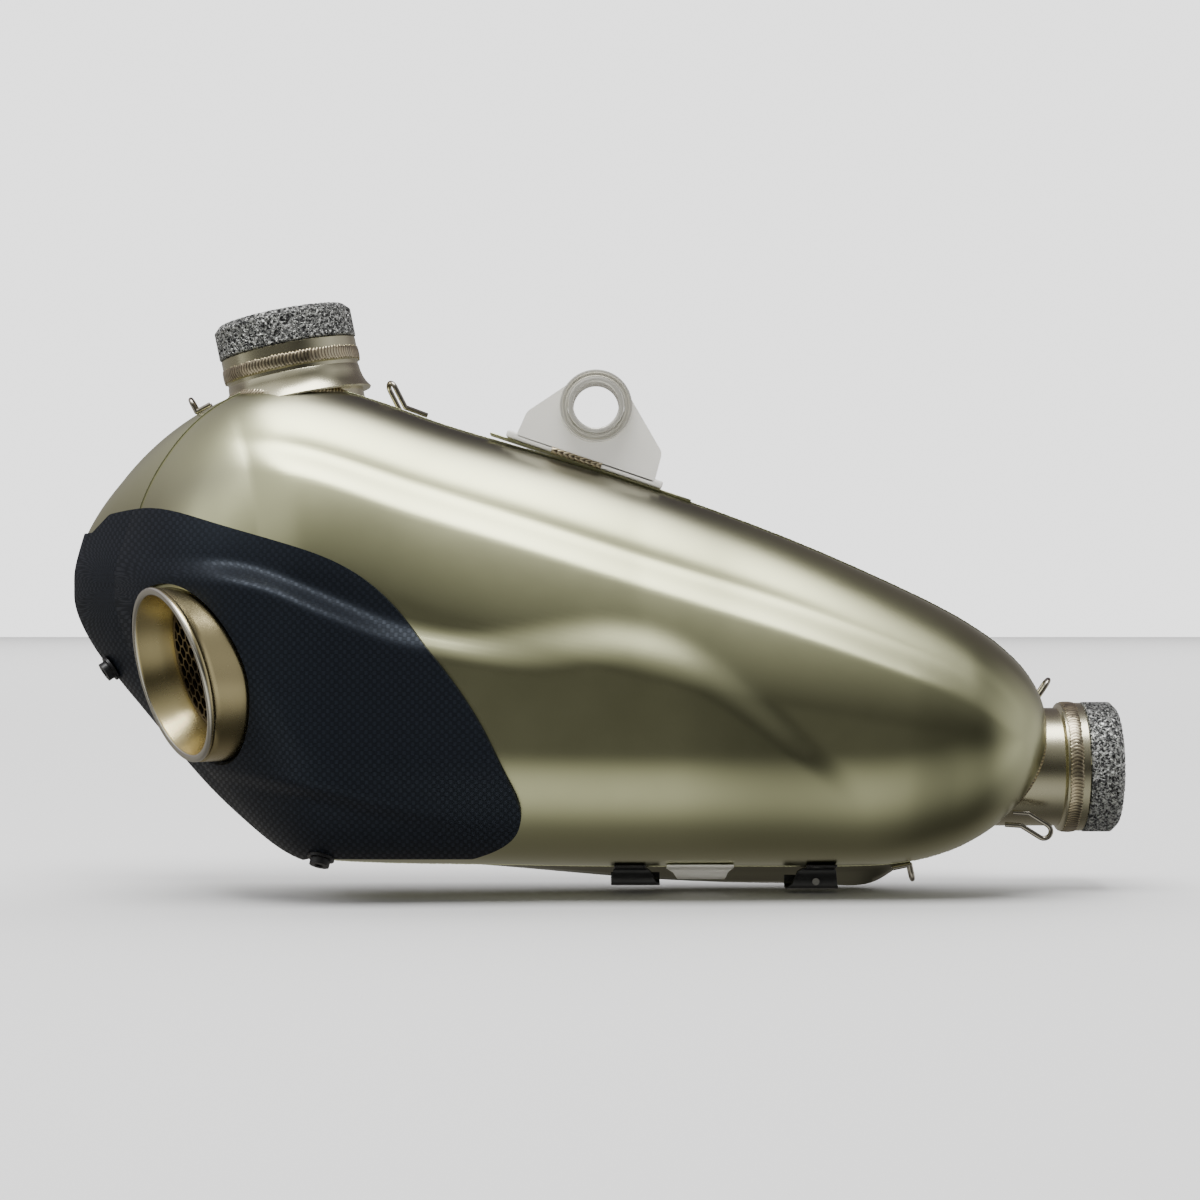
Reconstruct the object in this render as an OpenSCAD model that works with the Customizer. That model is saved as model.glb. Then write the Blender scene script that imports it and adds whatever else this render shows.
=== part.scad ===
// Underbody exhaust muffler for a motorcycle: two slip-on inlets, one slash-cut outlet.
// Millimetres. The origin is the centre of the hanger eye; +X points to the front inlet,
// -Y to the outer face, +Z up. The seam of the two pressed shells lies in the plane y = 0.

/* [Shell] */
// Depth of the outer half before its pressed steps
front_depth = 51; // [46:1:56]
// Depth of the inner half
rear_depth = 62; // [60:1:66]
// Sheet thickness of both halves
shell_wall = 1.2; // [1:0.1:1.6]
// Height of the pressed step under the shoulder
ledge_height = 5; // [2:0.5:7]
// Height of the pressed step over the outlet swell
swell_height = 5.5; // [2:0.5:7]

/* [End cap] */
// Air gap between the end cap and the shell
cap_gap = 1; // [0.8:0.1:1.5]
// Laminate thickness of the end cap
cap_wall = 1.8; // [1.4:0.1:2.4]
// How far the cap stands up around the outlet
cowl_height = 7.5; // [3:0.5:9]

/* [Outlet] */
// Outer radius of the tail tip at its rim
tip_radius = 43; // [41:0.5:44]
// Angle of the outlet axis out from straight rearward
outlet_turn = 32.6; // [30:0.2:34]
// Lean of the slash-cut rim
rim_lean = 14.7; // [12:0.1:16]
// Turn of the slash-cut rim towards the rear
rim_turn = 2.4; // [0:0.2:4]
// Across-flats size of the grille's cells
cell_size = 6.4; // [5:0.1:7]

/* [Inlets] */
// Outer radius of the top seal ring
top_seal_radius = 35; // [34:0.5:36]
// Outer radius of the front seal ring
front_seal_radius = 33; // [32:0.5:34]
// Length of both seal rings
seal_length = 17; // [15:0.5:20]

/* [Hanger] */
// Radius of the bore that takes the frame's rubber mount
hanger_bore = 11.25; // [10:0.25:12]
// Length of the hanger sleeve
hanger_length = 28; // [24:1:32]

/* [Hidden] */
$fn = 64;
titanium = [0.66, 0.62, 0.50];
eps = 0.01;

// Side outline of the seam [x, z], from the rear tip over the top to the front tip
top_edge = [
    [-238, -88], [-233, -68], [-226, -46], [-214, -24], [-197, -5], [-177, 7], [-155, 12],
    [-132, 9], [-108, 2], [-80, -8], [-40, -20], [0, -32], [50, -49], [100, -68],
    [150, -90], [178, -104], [203, -121], [219, -140], [224, -162]
];
// Side outline of the seam [x, z], from the front tip under the belly to the rear tip
bottom_edge = [
    [219, -183], [207, -201], [184, -218], [154, -227], [120, -229], [60, -229], [0, -229],
    [-60, -228], [-124, -226.5], [-149, -222], [-168, -207], [-187, -184], [-204, -159],
    [-220, -136], [-232, -113]
];
// Crest of the pressed step under the shoulder [x, z]
ledge_line = [
    [-250, -24], [-205, -24], [-147, -31], [-87, -48], [-27, -67], [32, -86], [92, -105],
    [152, -127], [185, -142], [206, -160], [226, -196]
];
// Crest of the swell that runs forward from the outlet [x, z]
swell_line = [
    [-240, -82], [-200, -84], [-157, -94], [-121, -104], [-95, -112], [-57, -119],
    [-27, -119], [3, -116], [33, -121], [63, -137], [93, -162], [123, -188], [160, -225]
];
// How far the inner half hangs below the seam [x, drop]
belly_line = [
    [-240, 0], [-190, 0], [-150, 4], [-100, 6], [-40, 9], [20, 14], [60, 17], [120, 18],
    [142, 17], [156, 9], [170, 6], [190, 9], [215, 6], [235, 0]
];
// Edge of the end cap on the outer face [x, z]
cap_edge = [
    [-300, -64], [-258, -62], [-247, -53], [-220, -51], [-185, -59], [-147, -70], [-123, -79],
    [-104, -92], [-84, -115], [-68, -136], [-53, -160], [-42, -183], [-36, -202],
    [-38, -209], [-50, -219], [-60, -223], [-140, -223.5], [-156, -230], [-170, -245],
    [-300, -245]
];
// Plan of the end cap's reach [x, y]: it wraps the whole rear face, then ends at the seam
cap_plan = [[-300, 40], [-232, 40], [-150, -1.5], [-20, -1.5], [-20, -120], [-300, -120]];
// Lower crease of the outlet cowl [x, z]
crease_line = [
    [-240, -170], [-200, -178], [-180, -182], [-142, -187], [-99, -195], [-42, -206],
    [0, -214]
];

stations = 44;      // sections along the shell
front_rows = 18;    // points down the outer half of a section
rear_rows = 14;     // points up the inner half of a section
cap_stations = 27;  // sections that reach past the end cap's front corner

// --- curves -------------------------------------------------------------------------------
function ease(t) = let (u = max(0, min(1, t))) u * u * (3 - 2 * u);
function round_over(d, r, p) = let (t = max(0, min(1, d / r))) pow(1 - pow(1 - t, p), 1 / p);
function catmull(a, b, c, d, t) =
    0.5 * (2 * b + (c - a) * t + (2 * a - 5 * b + 4 * c - d) * t * t
    + (3 * b - a - 3 * c + d) * t * t * t);
function clamp_index(pts, i) = pts[max(0, min(len(pts) - 1, i))];
function open_curve(pts, steps = 6) = concat(
    [for (i = [0 : len(pts) - 2]) for (k = [0 : steps - 1])
        catmull(clamp_index(pts, i - 1), pts[i], pts[i + 1], clamp_index(pts, i + 2), k / steps)],
    [pts[len(pts) - 1]]);
function closed_curve(pts, steps = 6) = let (n = len(pts))
    [for (i = [0 : n - 1]) for (k = [0 : steps - 1])
        catmull(pts[(i + n - 1) % n], pts[i], pts[(i + 1) % n], pts[(i + 2) % n], k / steps)];

edge_steps = 6;
edge_curve = closed_curve(concat(top_edge, bottom_edge), edge_steps);
top_samples = (len(top_edge) - 1) * edge_steps;
top_table = [for (i = [0 : top_samples]) edge_curve[i]];
bottom_table = [for (i = [top_samples : len(edge_curve)]) edge_curve[i % len(edge_curve)]];
ledge_table = open_curve(ledge_line);
swell_table = open_curve(swell_line);
belly_table = open_curve(belly_line);
crease_table = open_curve(crease_line);
rear_tip = top_edge[0];
front_tip = top_edge[len(top_edge) - 1];

// --- shell surface ------------------------------------------------------------------------
// Rounding of both ends in plan
function end_round(x) =
    round_over(x - rear_tip[0], 24, 2.3) * round_over(front_tip[0] - x, 34, 2);
// Sections turn towards the outlet at the rear, so that the rear face is a slanted one
function skew(x, inner = 0) =
    (1 + 0.25 * inner) * tan(outlet_turn) * (1 - ease((x + 235) / 150));
function step_down(line, x, z, width) = ease((lookup(x, line) - z) / width + 0.5);
function front_steps(x, z) =
    ledge_height * ease((x + 215) / 60) * step_down(ledge_table, x, z, 16)
    + swell_height * (1 - ease((x - 30) / 100)) * step_down(swell_table, x, z, 15);
function front_y(x, z, zt, zb) = let (h = zt - zb)
    -(front_depth + front_steps(x, z)) * round_over(zt - z, max(1, min(95, 0.5 * h)), 1.6)
    * round_over(z - zb, max(1, min(60, 0.35 * h)), 2) * end_round(x);
function rear_y(x, z, zt, zb) = let (h = zt - zb)
    rear_depth * round_over(zt - z, max(1, min(48, 0.4 * h)), 2)
    * round_over(z - zb, max(1, min(48, 0.4 * h)), 2) * end_round(x);
function belly(x, b) = lookup(x, belly_table) * ease(b / 4) * (1 - ease((b - 6) / 90));
function cowl(x, z) =
    cowl_height * ease((x + 236) / 40) * (1 - ease((x + 150) / 95))
    * step_down(swell_table, x, z, 16) * (1 - step_down(crease_table, x, z, 14));

// A point of the shell: s runs 0 to 1 from the rear tip to the front tip, v runs 0 to 1 down
// the outer half or up the inner half, and d is the offset outwards
function station_x(s) = rear_tip[0] + (front_tip[0] - rear_tip[0]) * (1 - cos(180 * s)) / 2;
function offset_x(x, d) = let (w = (x - rear_tip[0]) / (front_tip[0] - rear_tip[0]))
    x - d * (1 - 2 * w);
function front_point(s, v, d, with_cowl = 0) =
    let (x = station_x(s), zt = lookup(x, top_table), zb = lookup(x, bottom_table),
        u = (1 - cos(180 * v)) / 2, z = zt + (zb - zt) * u,
        y = front_y(x, z, zt, zb) * (1 + d / front_depth),
        lift = with_cowl * cowl(x, z))
    [offset_x(x, d) - skew(x) * y, y - lift, z + d * (1 - 2 * u)];
function rear_point(s, v, d) =
    let (x = station_x(s), zt = lookup(x, top_table), zb = lookup(x, bottom_table),
        u = (1 - cos(180 * v)) / 2, z = zb + (zt - zb) * u,
        y = rear_y(x, z, zt, zb) * (1 + d / rear_depth))
    [offset_x(x, d) - skew(x, 1) * y, y, z - belly(x, z - zb) - d * (1 - 2 * u)];
function tip_point(tip, d, side) = [tip[0] + side * d, 0, tip[1]];

// Grid of one half with its two tips, as one list of points
function half_points(front, d) = concat(
    [tip_point(rear_tip, d, -1)],
    [for (i = [1 : stations - 1]) for (j = [0 : (front ? front_rows : rear_rows)])
        front ? front_point(i / stations, j / front_rows, d)
              : rear_point(i / stations, j / rear_rows, d)],
    [tip_point(front_tip, d, 1)]);
// Faces of that grid: first is the index of its first point, flip turns them inside out
function turned(f, flip) = flip ? [f[2], f[1], f[0]] : f;
function half_faces(rows, first, flip) =
    let (w = rows + 1, last = first + 1 + (stations - 1) * w)
    concat(
        [for (j = [0 : rows - 1]) turned([first, first + 1 + j, first + 2 + j], flip)],
        [for (i = [0 : stations - 3]) for (j = [0 : rows - 1]) for (k = [0, 1])
            let (a = first + 1 + i * w + j)
            turned(k == 0 ? [a, a + w, a + w + 1] : [a, a + w + 1, a + 1], flip)],
        [for (j = [0 : rows - 1])
            let (a = first + 1 + (stations - 2) * w + j) turned([a, last, a + 1], flip)]);
// Seam strip between the outer and the inner surface along row j
function seam_index(i, j, w, first) = i == 0 ? first
    : i == stations ? first + 1 + (stations - 1) * w : first + 1 + (i - 1) * w + j;
function seam_faces(j, rows, second, flip) = let (w = rows + 1)
    [for (i = [0 : stations - 1]) for (k = [0, 1])
        let (a = seam_index(i, j, w, 0), b = seam_index(i + 1, j, w, 0),
            c = seam_index(i, j, w, second), e = seam_index(i + 1, j, w, second))
        turned(k == 0 ? [a, e, b] : [a, c, e], flip)];

module half_shell(front, outer, inner) {
    rows = front ? front_rows : rear_rows;
    points = half_points(front, outer);
    polyhedron(concat(points, half_points(front, inner)), concat(
        half_faces(rows, 0, false), half_faces(rows, len(points), true),
        seam_faces(0, rows, len(points), false), seam_faces(rows, rows, len(points), true)),
        convexity = 10);
}

// Whole closed loops of the body from the rear tip to the station last, as rings of points
loop_rows = front_rows + rear_rows;
function loop_point(s, j, d, with_cowl) = j <= front_rows
    ? front_point(s, j / front_rows, d, with_cowl)
    : rear_point(s, (j - front_rows) / rear_rows, d);
function loop_points(d, last, with_cowl) = concat(
    [tip_point(rear_tip, d, -1)],
    [for (i = [1 : last]) for (j = [0 : loop_rows - 1])
        loop_point(i / stations, j, d, with_cowl)]);
function loop_faces(first, last, flip) = concat(
    [for (j = [0 : loop_rows - 1])
        turned([first, first + 1 + j, first + 1 + (j + 1) % loop_rows], flip)],
    [for (i = [0 : last - 2]) for (j = [0 : loop_rows - 1]) for (k = [0, 1])
        let (a = first + 1 + i * loop_rows, n = (j + 1) % loop_rows)
        turned(k == 0 ? [a + j, a + j + loop_rows, a + n + loop_rows]
                      : [a + j, a + n + loop_rows, a + n], flip)]);

// Thin skin around the rear of the body, open at the station last
module rear_skin(inner, outer, last, with_cowl) {
    points = loop_points(outer, last, with_cowl);
    second = len(points);
    rim = 1 + (last - 1) * loop_rows;
    rim_faces = [for (j = [0 : loop_rows - 1]) for (k = [0, 1]) let (n = (j + 1) % loop_rows)
        k == 0 ? [rim + j, second + rim + j, second + rim + n]
               : [rim + j, second + rim + n, rim + n]];
    polyhedron(concat(points, loop_points(inner, last, with_cowl)),
        concat(loop_faces(0, last, false), loop_faces(second, last, true), rim_faces),
        convexity = 10);
}

// Solid body at the offset d
module body_solid(d) {
    front_pts = half_points(true, d);
    rear_pts = half_points(false, d);
    union() {
        polyhedron(front_pts, concat(half_faces(front_rows, 0, false),
            flat_faces(front_rows, false)), convexity = 10);
        polyhedron(rear_pts, concat(half_faces(rear_rows, 0, false),
            flat_faces(rear_rows, true)), convexity = 10);
    }
}

// Flat closing faces of one half in the seam plane
function flat_faces(rows, flip) = let (w = rows + 1)
    [for (i = [0 : stations - 1]) for (k = [0, 1])
        let (a = seam_index(i, 0, w, 0), b = seam_index(i + 1, 0, w, 0),
            c = seam_index(i, rows, w, 0), e = seam_index(i + 1, rows, w, 0))
        turned(k == 0 ? [a, b, e] : [a, e, c], flip)];

// --- placing ------------------------------------------------------------------------------
outlet_at = [-205.9, -39, -133];
top_inlet_at = [-156.8, 24, 31];
top_lean = 11.6;
front_inlet_at = [247, 26.5, -181.5];
module at_outlet() { translate(outlet_at) rotate([0, 0, outlet_turn]) rotate([0, -90, 0]) children(); }
module at_rim() { at_outlet() rotate([-rim_turn, 0, 0]) rotate([0, -rim_lean, 0]) children(); }
module at_top_inlet() { translate(top_inlet_at) rotate([0, -top_lean, 0]) children(); }
module at_front_inlet() { translate(front_inlet_at) rotate([0, 90, 0]) children(); }

module tube(r, wall, from, to) {
    translate([0, 0, from]) difference() {
        cylinder(r = r, h = to - from);
        translate([0, 0, -eps]) cylinder(r = r - wall, h = to - from + 2 * eps);
    }
}
// Rows of holes through a tube that stands on the origin
module perforation(r, from, to, rows, around = 3, hole = 2.6) {
    for (i = [0 : rows - 1]) for (k = [0 : around - 1])
        translate([0, 0, from + (to - from) * i / (rows - 1)])
            rotate([90, 0, (k + (i % 2) / 2) * 180 / around])
                cylinder(r = hole, h = 2 * r + 4, center = true, $fn = 24);
}

// --- body ---------------------------------------------------------------------------------
neck_wall = 1.5;
top_neck_radius = top_seal_radius - 1.6;
front_neck_radius = front_seal_radius - 3;
sleeve_radius = tip_radius - 0.5;
core_radius = 31;
fit_gap = 0.2;

// Openings that the necks, the tail tip and the cap screws need in the skins
module neck_openings() {
    at_top_inlet() translate([0, 0, -70]) cylinder(r = top_neck_radius + fit_gap, h = 65);
    at_front_inlet() translate([0, 0, -85]) cylinder(r = front_neck_radius + fit_gap, h = 80);
    at_outlet() translate([0, 0, -60]) cylinder(r = sleeve_radius + fit_gap, h = 90);
}
// Where each cap screw's washer sits, then the direction in which the screw points out
screw_spots = [
    [[-247.6, 30, -131], [-0.78, -0.31, -0.55]],
    [[-134.6, -26.2, -222.1], [-0.19, -0.37, -0.91]]
];
module aim(at, out) {
    translate(at) rotate([0, acos(out[2] / norm(out)), atan2(out[1], out[0])]) children();
}
module at_cap_screws() { for (spot = screw_spots) aim(spot[0], spot[1]) children(); }
module screw_holes(r) { at_cap_screws() translate([0, 0, -14]) cylinder(r = r, h = 30, $fn = 32); }

module front_shell() {
    color(titanium) difference() {
        half_shell(true, 0, -shell_wall);
        neck_openings();
        screw_holes(3.2);
    }
}
module rear_shell() {
    color(titanium) difference() {
        half_shell(false, 0, -shell_wall);
        neck_openings();
        screw_holes(3.2);
    }
}
module end_cap() {
    color([0.1, 0.1, 0.11]) difference() {
        intersection() {
            rear_skin(cap_gap, cap_gap + cap_wall, cap_stations, 1);
            rotate([90, 0, 0]) linear_extrude(300, center = true) polygon(cap_edge);
            translate([0, 0, -300]) linear_extrude(400) polygon(cap_plan);
        }
        at_outlet() translate([0, 0, -80]) cylinder(r = tip_radius + 1.5, h = 120);
        screw_holes(3.4);
    }
}

// --- outlet -------------------------------------------------------------------------------
rim_inner = tip_radius - 3;
grille_depth = 15;
grille_radius = 33.5;
sleeve_reach = 38;
mitre_reach = 66;

module tail_tip() {
    color([0.72, 0.6, 0.4]) union() {
        difference() {
            at_outlet() tube(sleeve_radius, 1.4, -sleeve_reach, 16);
            at_rim() translate([-80, -80, -1.6]) cube([160, 160, 60]);
        }
        at_rim() rotate_extrude() polygon([
            [rim_inner, -0.6], [rim_inner + 0.8, 0.8], [tip_radius, 1], [tip_radius + 1, 0.2],
            [tip_radius + 1, -2], [tip_radius - 1.2, -2.6], [rim_inner + 1.4, -2.6],
            [grille_radius + 1.5, -grille_depth + 2], [grille_radius + 1.5, -grille_depth - 6],
            [grille_radius + 0.1, -grille_depth - 6], [grille_radius + 0.1, -grille_depth + 1]
        ]);
    }
}
module outlet_grille() {
    color([0.35, 0.3, 0.22]) at_rim() translate([0, 0, -grille_depth - 3]) {
        linear_extrude(1.2) difference() {
            circle(r = grille_radius - 0.1);
            intersection() {
                circle(r = grille_radius - 2);
                for (i = [-6 : 6]) for (k = [-6 : 6])
                    translate([cell_size * (i + (abs(k) % 2) / 2), cell_size * 0.866 * k])
                        rotate(30) circle(d = (cell_size - 1) / cos(30), $fn = 6);
            }
        }
        translate([0, 0, -4]) difference() {
            cylinder(r = grille_radius - 0.1, h = 4);
            translate([0, 0, -1]) cylinder(r = grille_radius - 1.3, h = 6);
        }
    }
}
// The outlet tube meets the straight core tube at a mitre
mitre_at = outlet_at + mitre_reach * [cos(outlet_turn), sin(outlet_turn), 0];
module mitre_block(side) {
    translate(mitre_at) rotate([0, 0, outlet_turn / 2])
        translate([side > 0 ? 0.1 : -200.1, -100, -100]) cube(200);
}
module outlet_tube() {
    color([0.6, 0.58, 0.54]) intersection() {
        at_outlet() tube(core_radius, 1.2, -mitre_reach - 12, -grille_depth - 16);
        mitre_block(-1);
    }
}
module outlet_core() {
    color([0.6, 0.58, 0.54]) difference() {
        intersection() {
            translate(mitre_at) rotate([0, 90, 0]) tube(core_radius, 1.2, -12, 248);
            mitre_block(1);
        }
        translate(mitre_at) rotate([0, 90, 0]) perforation(core_radius, 100, 160, 6);
    }
}

// --- inlets -------------------------------------------------------------------------------
module neck(r, reach) { tube(r, neck_wall, -reach, -12.1); }
// Collar with its weld bead, then the reduced spigot that carries the seal ring
module spigot(collar, seat, bore) {
    difference() {
        union() {
            translate([0, 0, -12]) cylinder(r = collar, h = 12);
            translate([0, 0, -eps]) cylinder(r = seat, h = seal_length - 1.5);
            translate([0, 0, -10.4]) rotate_extrude() translate([collar, 0]) circle(r = 1.5, $fn = 24);
        }
        translate([0, 0, -13]) cylinder(r = bore, h = seal_length + 20);
    }
}
module seal_ring(outer, inner) {
    translate([0, 0, fit_gap]) rotate_extrude() polygon([
        [inner, 0.6], [inner + 0.6, 0], [outer - 0.6, 0], [outer, 0.6],
        [outer, seal_length - 3], [outer - 3, seal_length], [inner + 0.6, seal_length],
        [inner, seal_length - 0.6]
    ]);
}
seat_step = 5.6;    // how thick the seal rings are
spigot_wall = 1.8;
top_seat = top_seal_radius - seat_step;
front_seat = front_seal_radius - seat_step;
seal_fit = 0.1;
wool_radius = 34;

module top_inlet_neck() {
    color(titanium) at_top_inlet() neck(top_neck_radius, 60);
}
module top_inlet_spigot() {
    color(titanium) at_top_inlet() spigot(top_seal_radius - 0.6, top_seat, top_seat - spigot_wall);
}
module top_inlet_seal() {
    color([0.5, 0.5, 0.5]) at_top_inlet() seal_ring(top_seal_radius, top_seat + seal_fit);
}
module top_core_tube() {
    color([0.6, 0.58, 0.54]) at_top_inlet() difference() {
        tube(top_seat - spigot_wall - 0.1, 1.2, -116, -4);
        perforation(top_seat, -106, -66, 5);
    }
}
module top_core_wool() {
    color([0.85, 0.8, 0.62]) at_top_inlet()
        tube(wool_radius, wool_radius - top_seat + spigot_wall - 0.1, -112, -64);
}
module front_inlet_neck() {
    color(titanium) at_front_inlet() neck(front_neck_radius, 60);
}
module front_inlet_spigot() {
    color(titanium) at_front_inlet()
        spigot(front_seal_radius - 0.4, front_seat, front_seat - spigot_wall);
}
module front_inlet_seal() {
    color([0.5, 0.5, 0.5]) at_front_inlet() seal_ring(front_seal_radius, front_seat + seal_fit);
}
module front_core_tube() {
    color([0.6, 0.58, 0.54]) at_front_inlet() difference() {
        tube(front_seat - spigot_wall - 0.1, 1.2, -138, -4);
        perforation(front_seat, -112, -68, 5);
    }
}
module front_core_wool() {
    color([0.85, 0.8, 0.62]) at_front_inlet()
        tube(wool_radius - 3, wool_radius - 3 - front_seat + spigot_wall - 0.1, -116, -64);
}

// --- baffles ------------------------------------------------------------------------------
// Section of the body at x, drawn in [y, z], reduced by the offset d
function section(x, d) = let (zt = lookup(x, top_table), zb = lookup(x, bottom_table))
    concat(
        [for (j = [0 : front_rows]) let (u = (1 - cos(180 * j / front_rows)) / 2,
            z = zt + (zb - zt) * u, y = front_y(x, z, zt, zb))
            [y * (1 - d / front_depth), z - d * (1 - 2 * u)]],
        [for (j = [1 : rear_rows - 1]) let (u = (1 - cos(180 * j / rear_rows)) / 2,
            z = zb + (zt - zb) * u, y = rear_y(x, z, zt, zb))
            [y * (1 - d / rear_depth), z - belly(x, z - zb) + d * (1 - 2 * u)]]);
module baffle(x) {
    translate([x, 0, 0]) rotate([90, 0, 90]) linear_extrude(1.5) difference() {
        polygon(section(x, shell_wall + 1.4));
        children();
    }
}
module rear_baffle() {
    color([0.55, 0.53, 0.5]) baffle(-62) {
        translate([mitre_at[1], mitre_at[2]]) circle(r = core_radius + fit_gap);
        for (z = [-62, -200]) translate([4, z]) circle(r = 9);
    }
}
module middle_baffle() {
    color([0.55, 0.53, 0.5]) baffle(20) {
        translate([mitre_at[1], mitre_at[2]]) circle(r = core_radius + fit_gap);
        for (z = [-72, -200]) translate([4, z]) circle(r = 9);
    }
}
module front_baffle() {
    color([0.55, 0.53, 0.5]) baffle(116) {
        translate([front_inlet_at[1], front_inlet_at[2]])
            circle(r = front_seat - spigot_wall + fit_gap);
        for (z = [-110, -150]) translate([-20, z]) circle(r = 9);
    }
}

// --- hanger -------------------------------------------------------------------------------
sleeve_outer = 14;
boss_outer = 18;
foot_slope = 18.6;
module hanger_sleeve() {
    color([0.6, 0.57, 0.47]) rotate([90, 0, 0]) tube(sleeve_outer, sleeve_outer - hanger_bore,
        -hanger_length / 2, hanger_length / 2);
}
module hanger_boss() {
    color([0.6, 0.57, 0.47]) rotate([90, 0, 0]) rotate_extrude() polygon([
        [sleeve_outer + 0.1, 4.2], [boss_outer, 4.2], [boss_outer, 8.6], [boss_outer - 0.7, 9.3],
        [16.6, 9.3], [16.2, 8.4], [15.4, 8.4], [15, 9.3], [sleeve_outer + 0.1, 9.3]
    ]);
}
foot_at = [-44, -4, -11.5];
module on_foot_line() { translate(foot_at) rotate([0, foot_slope, 0]) children(); }
module hanger_bracket() {
    color(titanium) union() {
        translate([0, -1, 0]) rotate([90, 0, 0]) linear_extrude(3) difference() {
            polygon([
                [-40, -14.5], [-37.5, -9.5], [-34.5, -2.5], [-16, 9.8], [-8, 15.6], [-3.5, 17.4],
                [3, 17.4], [7, 15.4], [13.6, 10.6], [18, 3], [33, -23], [30, -34.5], [29, -38]
            ]);
            circle(r = sleeve_outer + fit_gap);
        }
        on_foot_line() translate([0, 0, -3.4]) cube([82, 19, 3.4]);
    }
}
module hanger_pad() {
    color(titanium) on_foot_line() translate([-8, 3, -5]) cube([106, 16, 1.2]);
}

// --- wire hooks ---------------------------------------------------------------------------
wire = 1.25;
half_gap = 3.6;
// A loop of wire: two legs up from the origin, a half turn over the top, and two feet that
// leave the bottom of the legs at the given turn
module loop(height, foot, foot_turn) {
    translate([0, 0, height]) rotate([90, 0, 0]) rotate_extrude(angle = 180)
        translate([half_gap, 0]) circle(r = wire, $fn = 24);
    for (side = [-1, 1]) translate([side * half_gap, 0, 0]) {
        cylinder(r = wire, h = height + eps, $fn = 24);
        if (foot > 0) {
            sphere(r = wire * 1.04, $fn = 24);
            rotate(foot_turn) cylinder(r = wire, h = foot, $fn = 24);
        }
    }
}
module wire_color() { color([0.62, 0.6, 0.55]) children(); }
module top_inlet_front_hook() {
    wire_color() translate([-97.2, 9, -0.5]) rotate([0, -27, 0]) rotate([0, 0, 118])
        loop(11, 12, [133, 0, 0]);
}
module top_inlet_rear_hook() {
    wire_color() translate([-202.9, 24, -0.9]) rotate([0, -28, 0]) rotate([0, 0, 90])
        loop(3.6, 8, [90, 0, 0]);
}
module front_inlet_upper_hook() {
    wire_color() translate([221.6, 21, -149]) rotate([0, 34, 0]) rotate([0, 0, 90])
        loop(10.8, 0, 0);
}
module front_inlet_lower_hook() {
    wire_color() translate([214, -3, -206]) rotate([0, 122, 0]) loop(11, 8, [0, 152, 0]);
}
module belly_hook() {
    wire_color() translate([157, 4.2, -228.8]) rotate([0, 168, 0]) rotate([0, 0, 90])
        loop(4.2, 9, [90, 0, 0]);
}

// --- clips --------------------------------------------------------------------------------
strip = 1.5;
// Outline of a bent strip of even thickness whose inner face follows the path
function across(path, i) = let (a = path[max(0, i - 1)], b = path[min(len(path) - 1, i + 1)])
    [b[1] - a[1], a[0] - b[0]] / norm(b - a);
function ribbon(path, thick) = concat(path,
    [for (i = [len(path) - 1 : -1 : 0]) path[i] + thick * across(path, i)]);
// Clip drawn in [y, z] under the seam and drawn out along x: its front leaf lies on the
// outer half, its loop hangs below the seam
module strip_clip(from, width, drop) {
    bottom = -229.2 - drop;
    lip = min(bottom + 5, -233.4);
    translate([from, 0, 0]) rotate([90, 0, 90]) linear_extrude(width) polygon(ribbon([
        [-18, -227], [-12, -228.3], [-6, -229.2], [-3.6, -230], [-2.6, -231.6],
        [-2.6, bottom + 2], [-1.6, bottom + 0.5], [0, bottom], [5, bottom],
        [6.4, bottom + 0.4], [7.2, bottom + 1.4], [7.4, lip]
    ], strip));
}
module rear_cover_clip() { color([0.08, 0.08, 0.09]) strip_clip(8, 24, 8.8); }
module saddle_clip() { color([0.6, 0.57, 0.47]) strip_clip(41, 23, 5.8); }
module front_cover_clip() { color([0.08, 0.08, 0.09]) strip_clip(96, 25, 11.8); }
module clip_rivet() {
    color([0.75, 0.75, 0.72]) translate([109.5, -4.2, -236.8]) rotate([90, 0, 0])
        cylinder(r = 1.8, h = 0.9, $fn = 24);
}

// --- cap fasteners ------------------------------------------------------------------------
module cap_screws() {
    color([0.06, 0.06, 0.06]) at_cap_screws() difference() {
        union() {
            translate([0, 0, 1.6]) cylinder(r = 5, h = 3.2, $fn = 32);
            translate([0, 0, -10.5]) cylinder(r = 2.9, h = 12.5, $fn = 32);
        }
        translate([0, 0, 2.6]) cylinder(d = 4.6, h = 4, $fn = 6);
    }
}
module cap_washers() {
    color([0.06, 0.06, 0.06]) at_cap_screws() tube(6.75, 3.6, 0.1, 1.5);
}
module cap_weld_nuts() {
    color([0.55, 0.53, 0.5]) at_cap_screws() translate([0, 0, -10.6]) difference() {
        cylinder(d = 12, h = 4, $fn = 6);
        translate([0, 0, -1]) cylinder(r = 3.05, h = 6, $fn = 32);
    }
}

front_shell();
rear_shell();
end_cap();
tail_tip();
outlet_grille();
outlet_tube();
outlet_core();
top_inlet_neck();
top_inlet_spigot();
top_inlet_seal();
top_core_tube();
top_core_wool();
front_inlet_neck();
front_inlet_spigot();
front_inlet_seal();
front_core_tube();
front_core_wool();
front_baffle();
middle_baffle();
rear_baffle();
hanger_bracket();
hanger_boss();
hanger_sleeve();
hanger_pad();
top_inlet_front_hook();
top_inlet_rear_hook();
front_inlet_upper_hook();
front_inlet_lower_hook();
belly_hook();
rear_cover_clip();
front_cover_clip();
saddle_clip();
clip_rivet();
cap_screws();
cap_washers();
cap_weld_nuts();
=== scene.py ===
import math

import bmesh
import bpy
import numpy as np
from mathutils import Matrix, Vector


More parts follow.
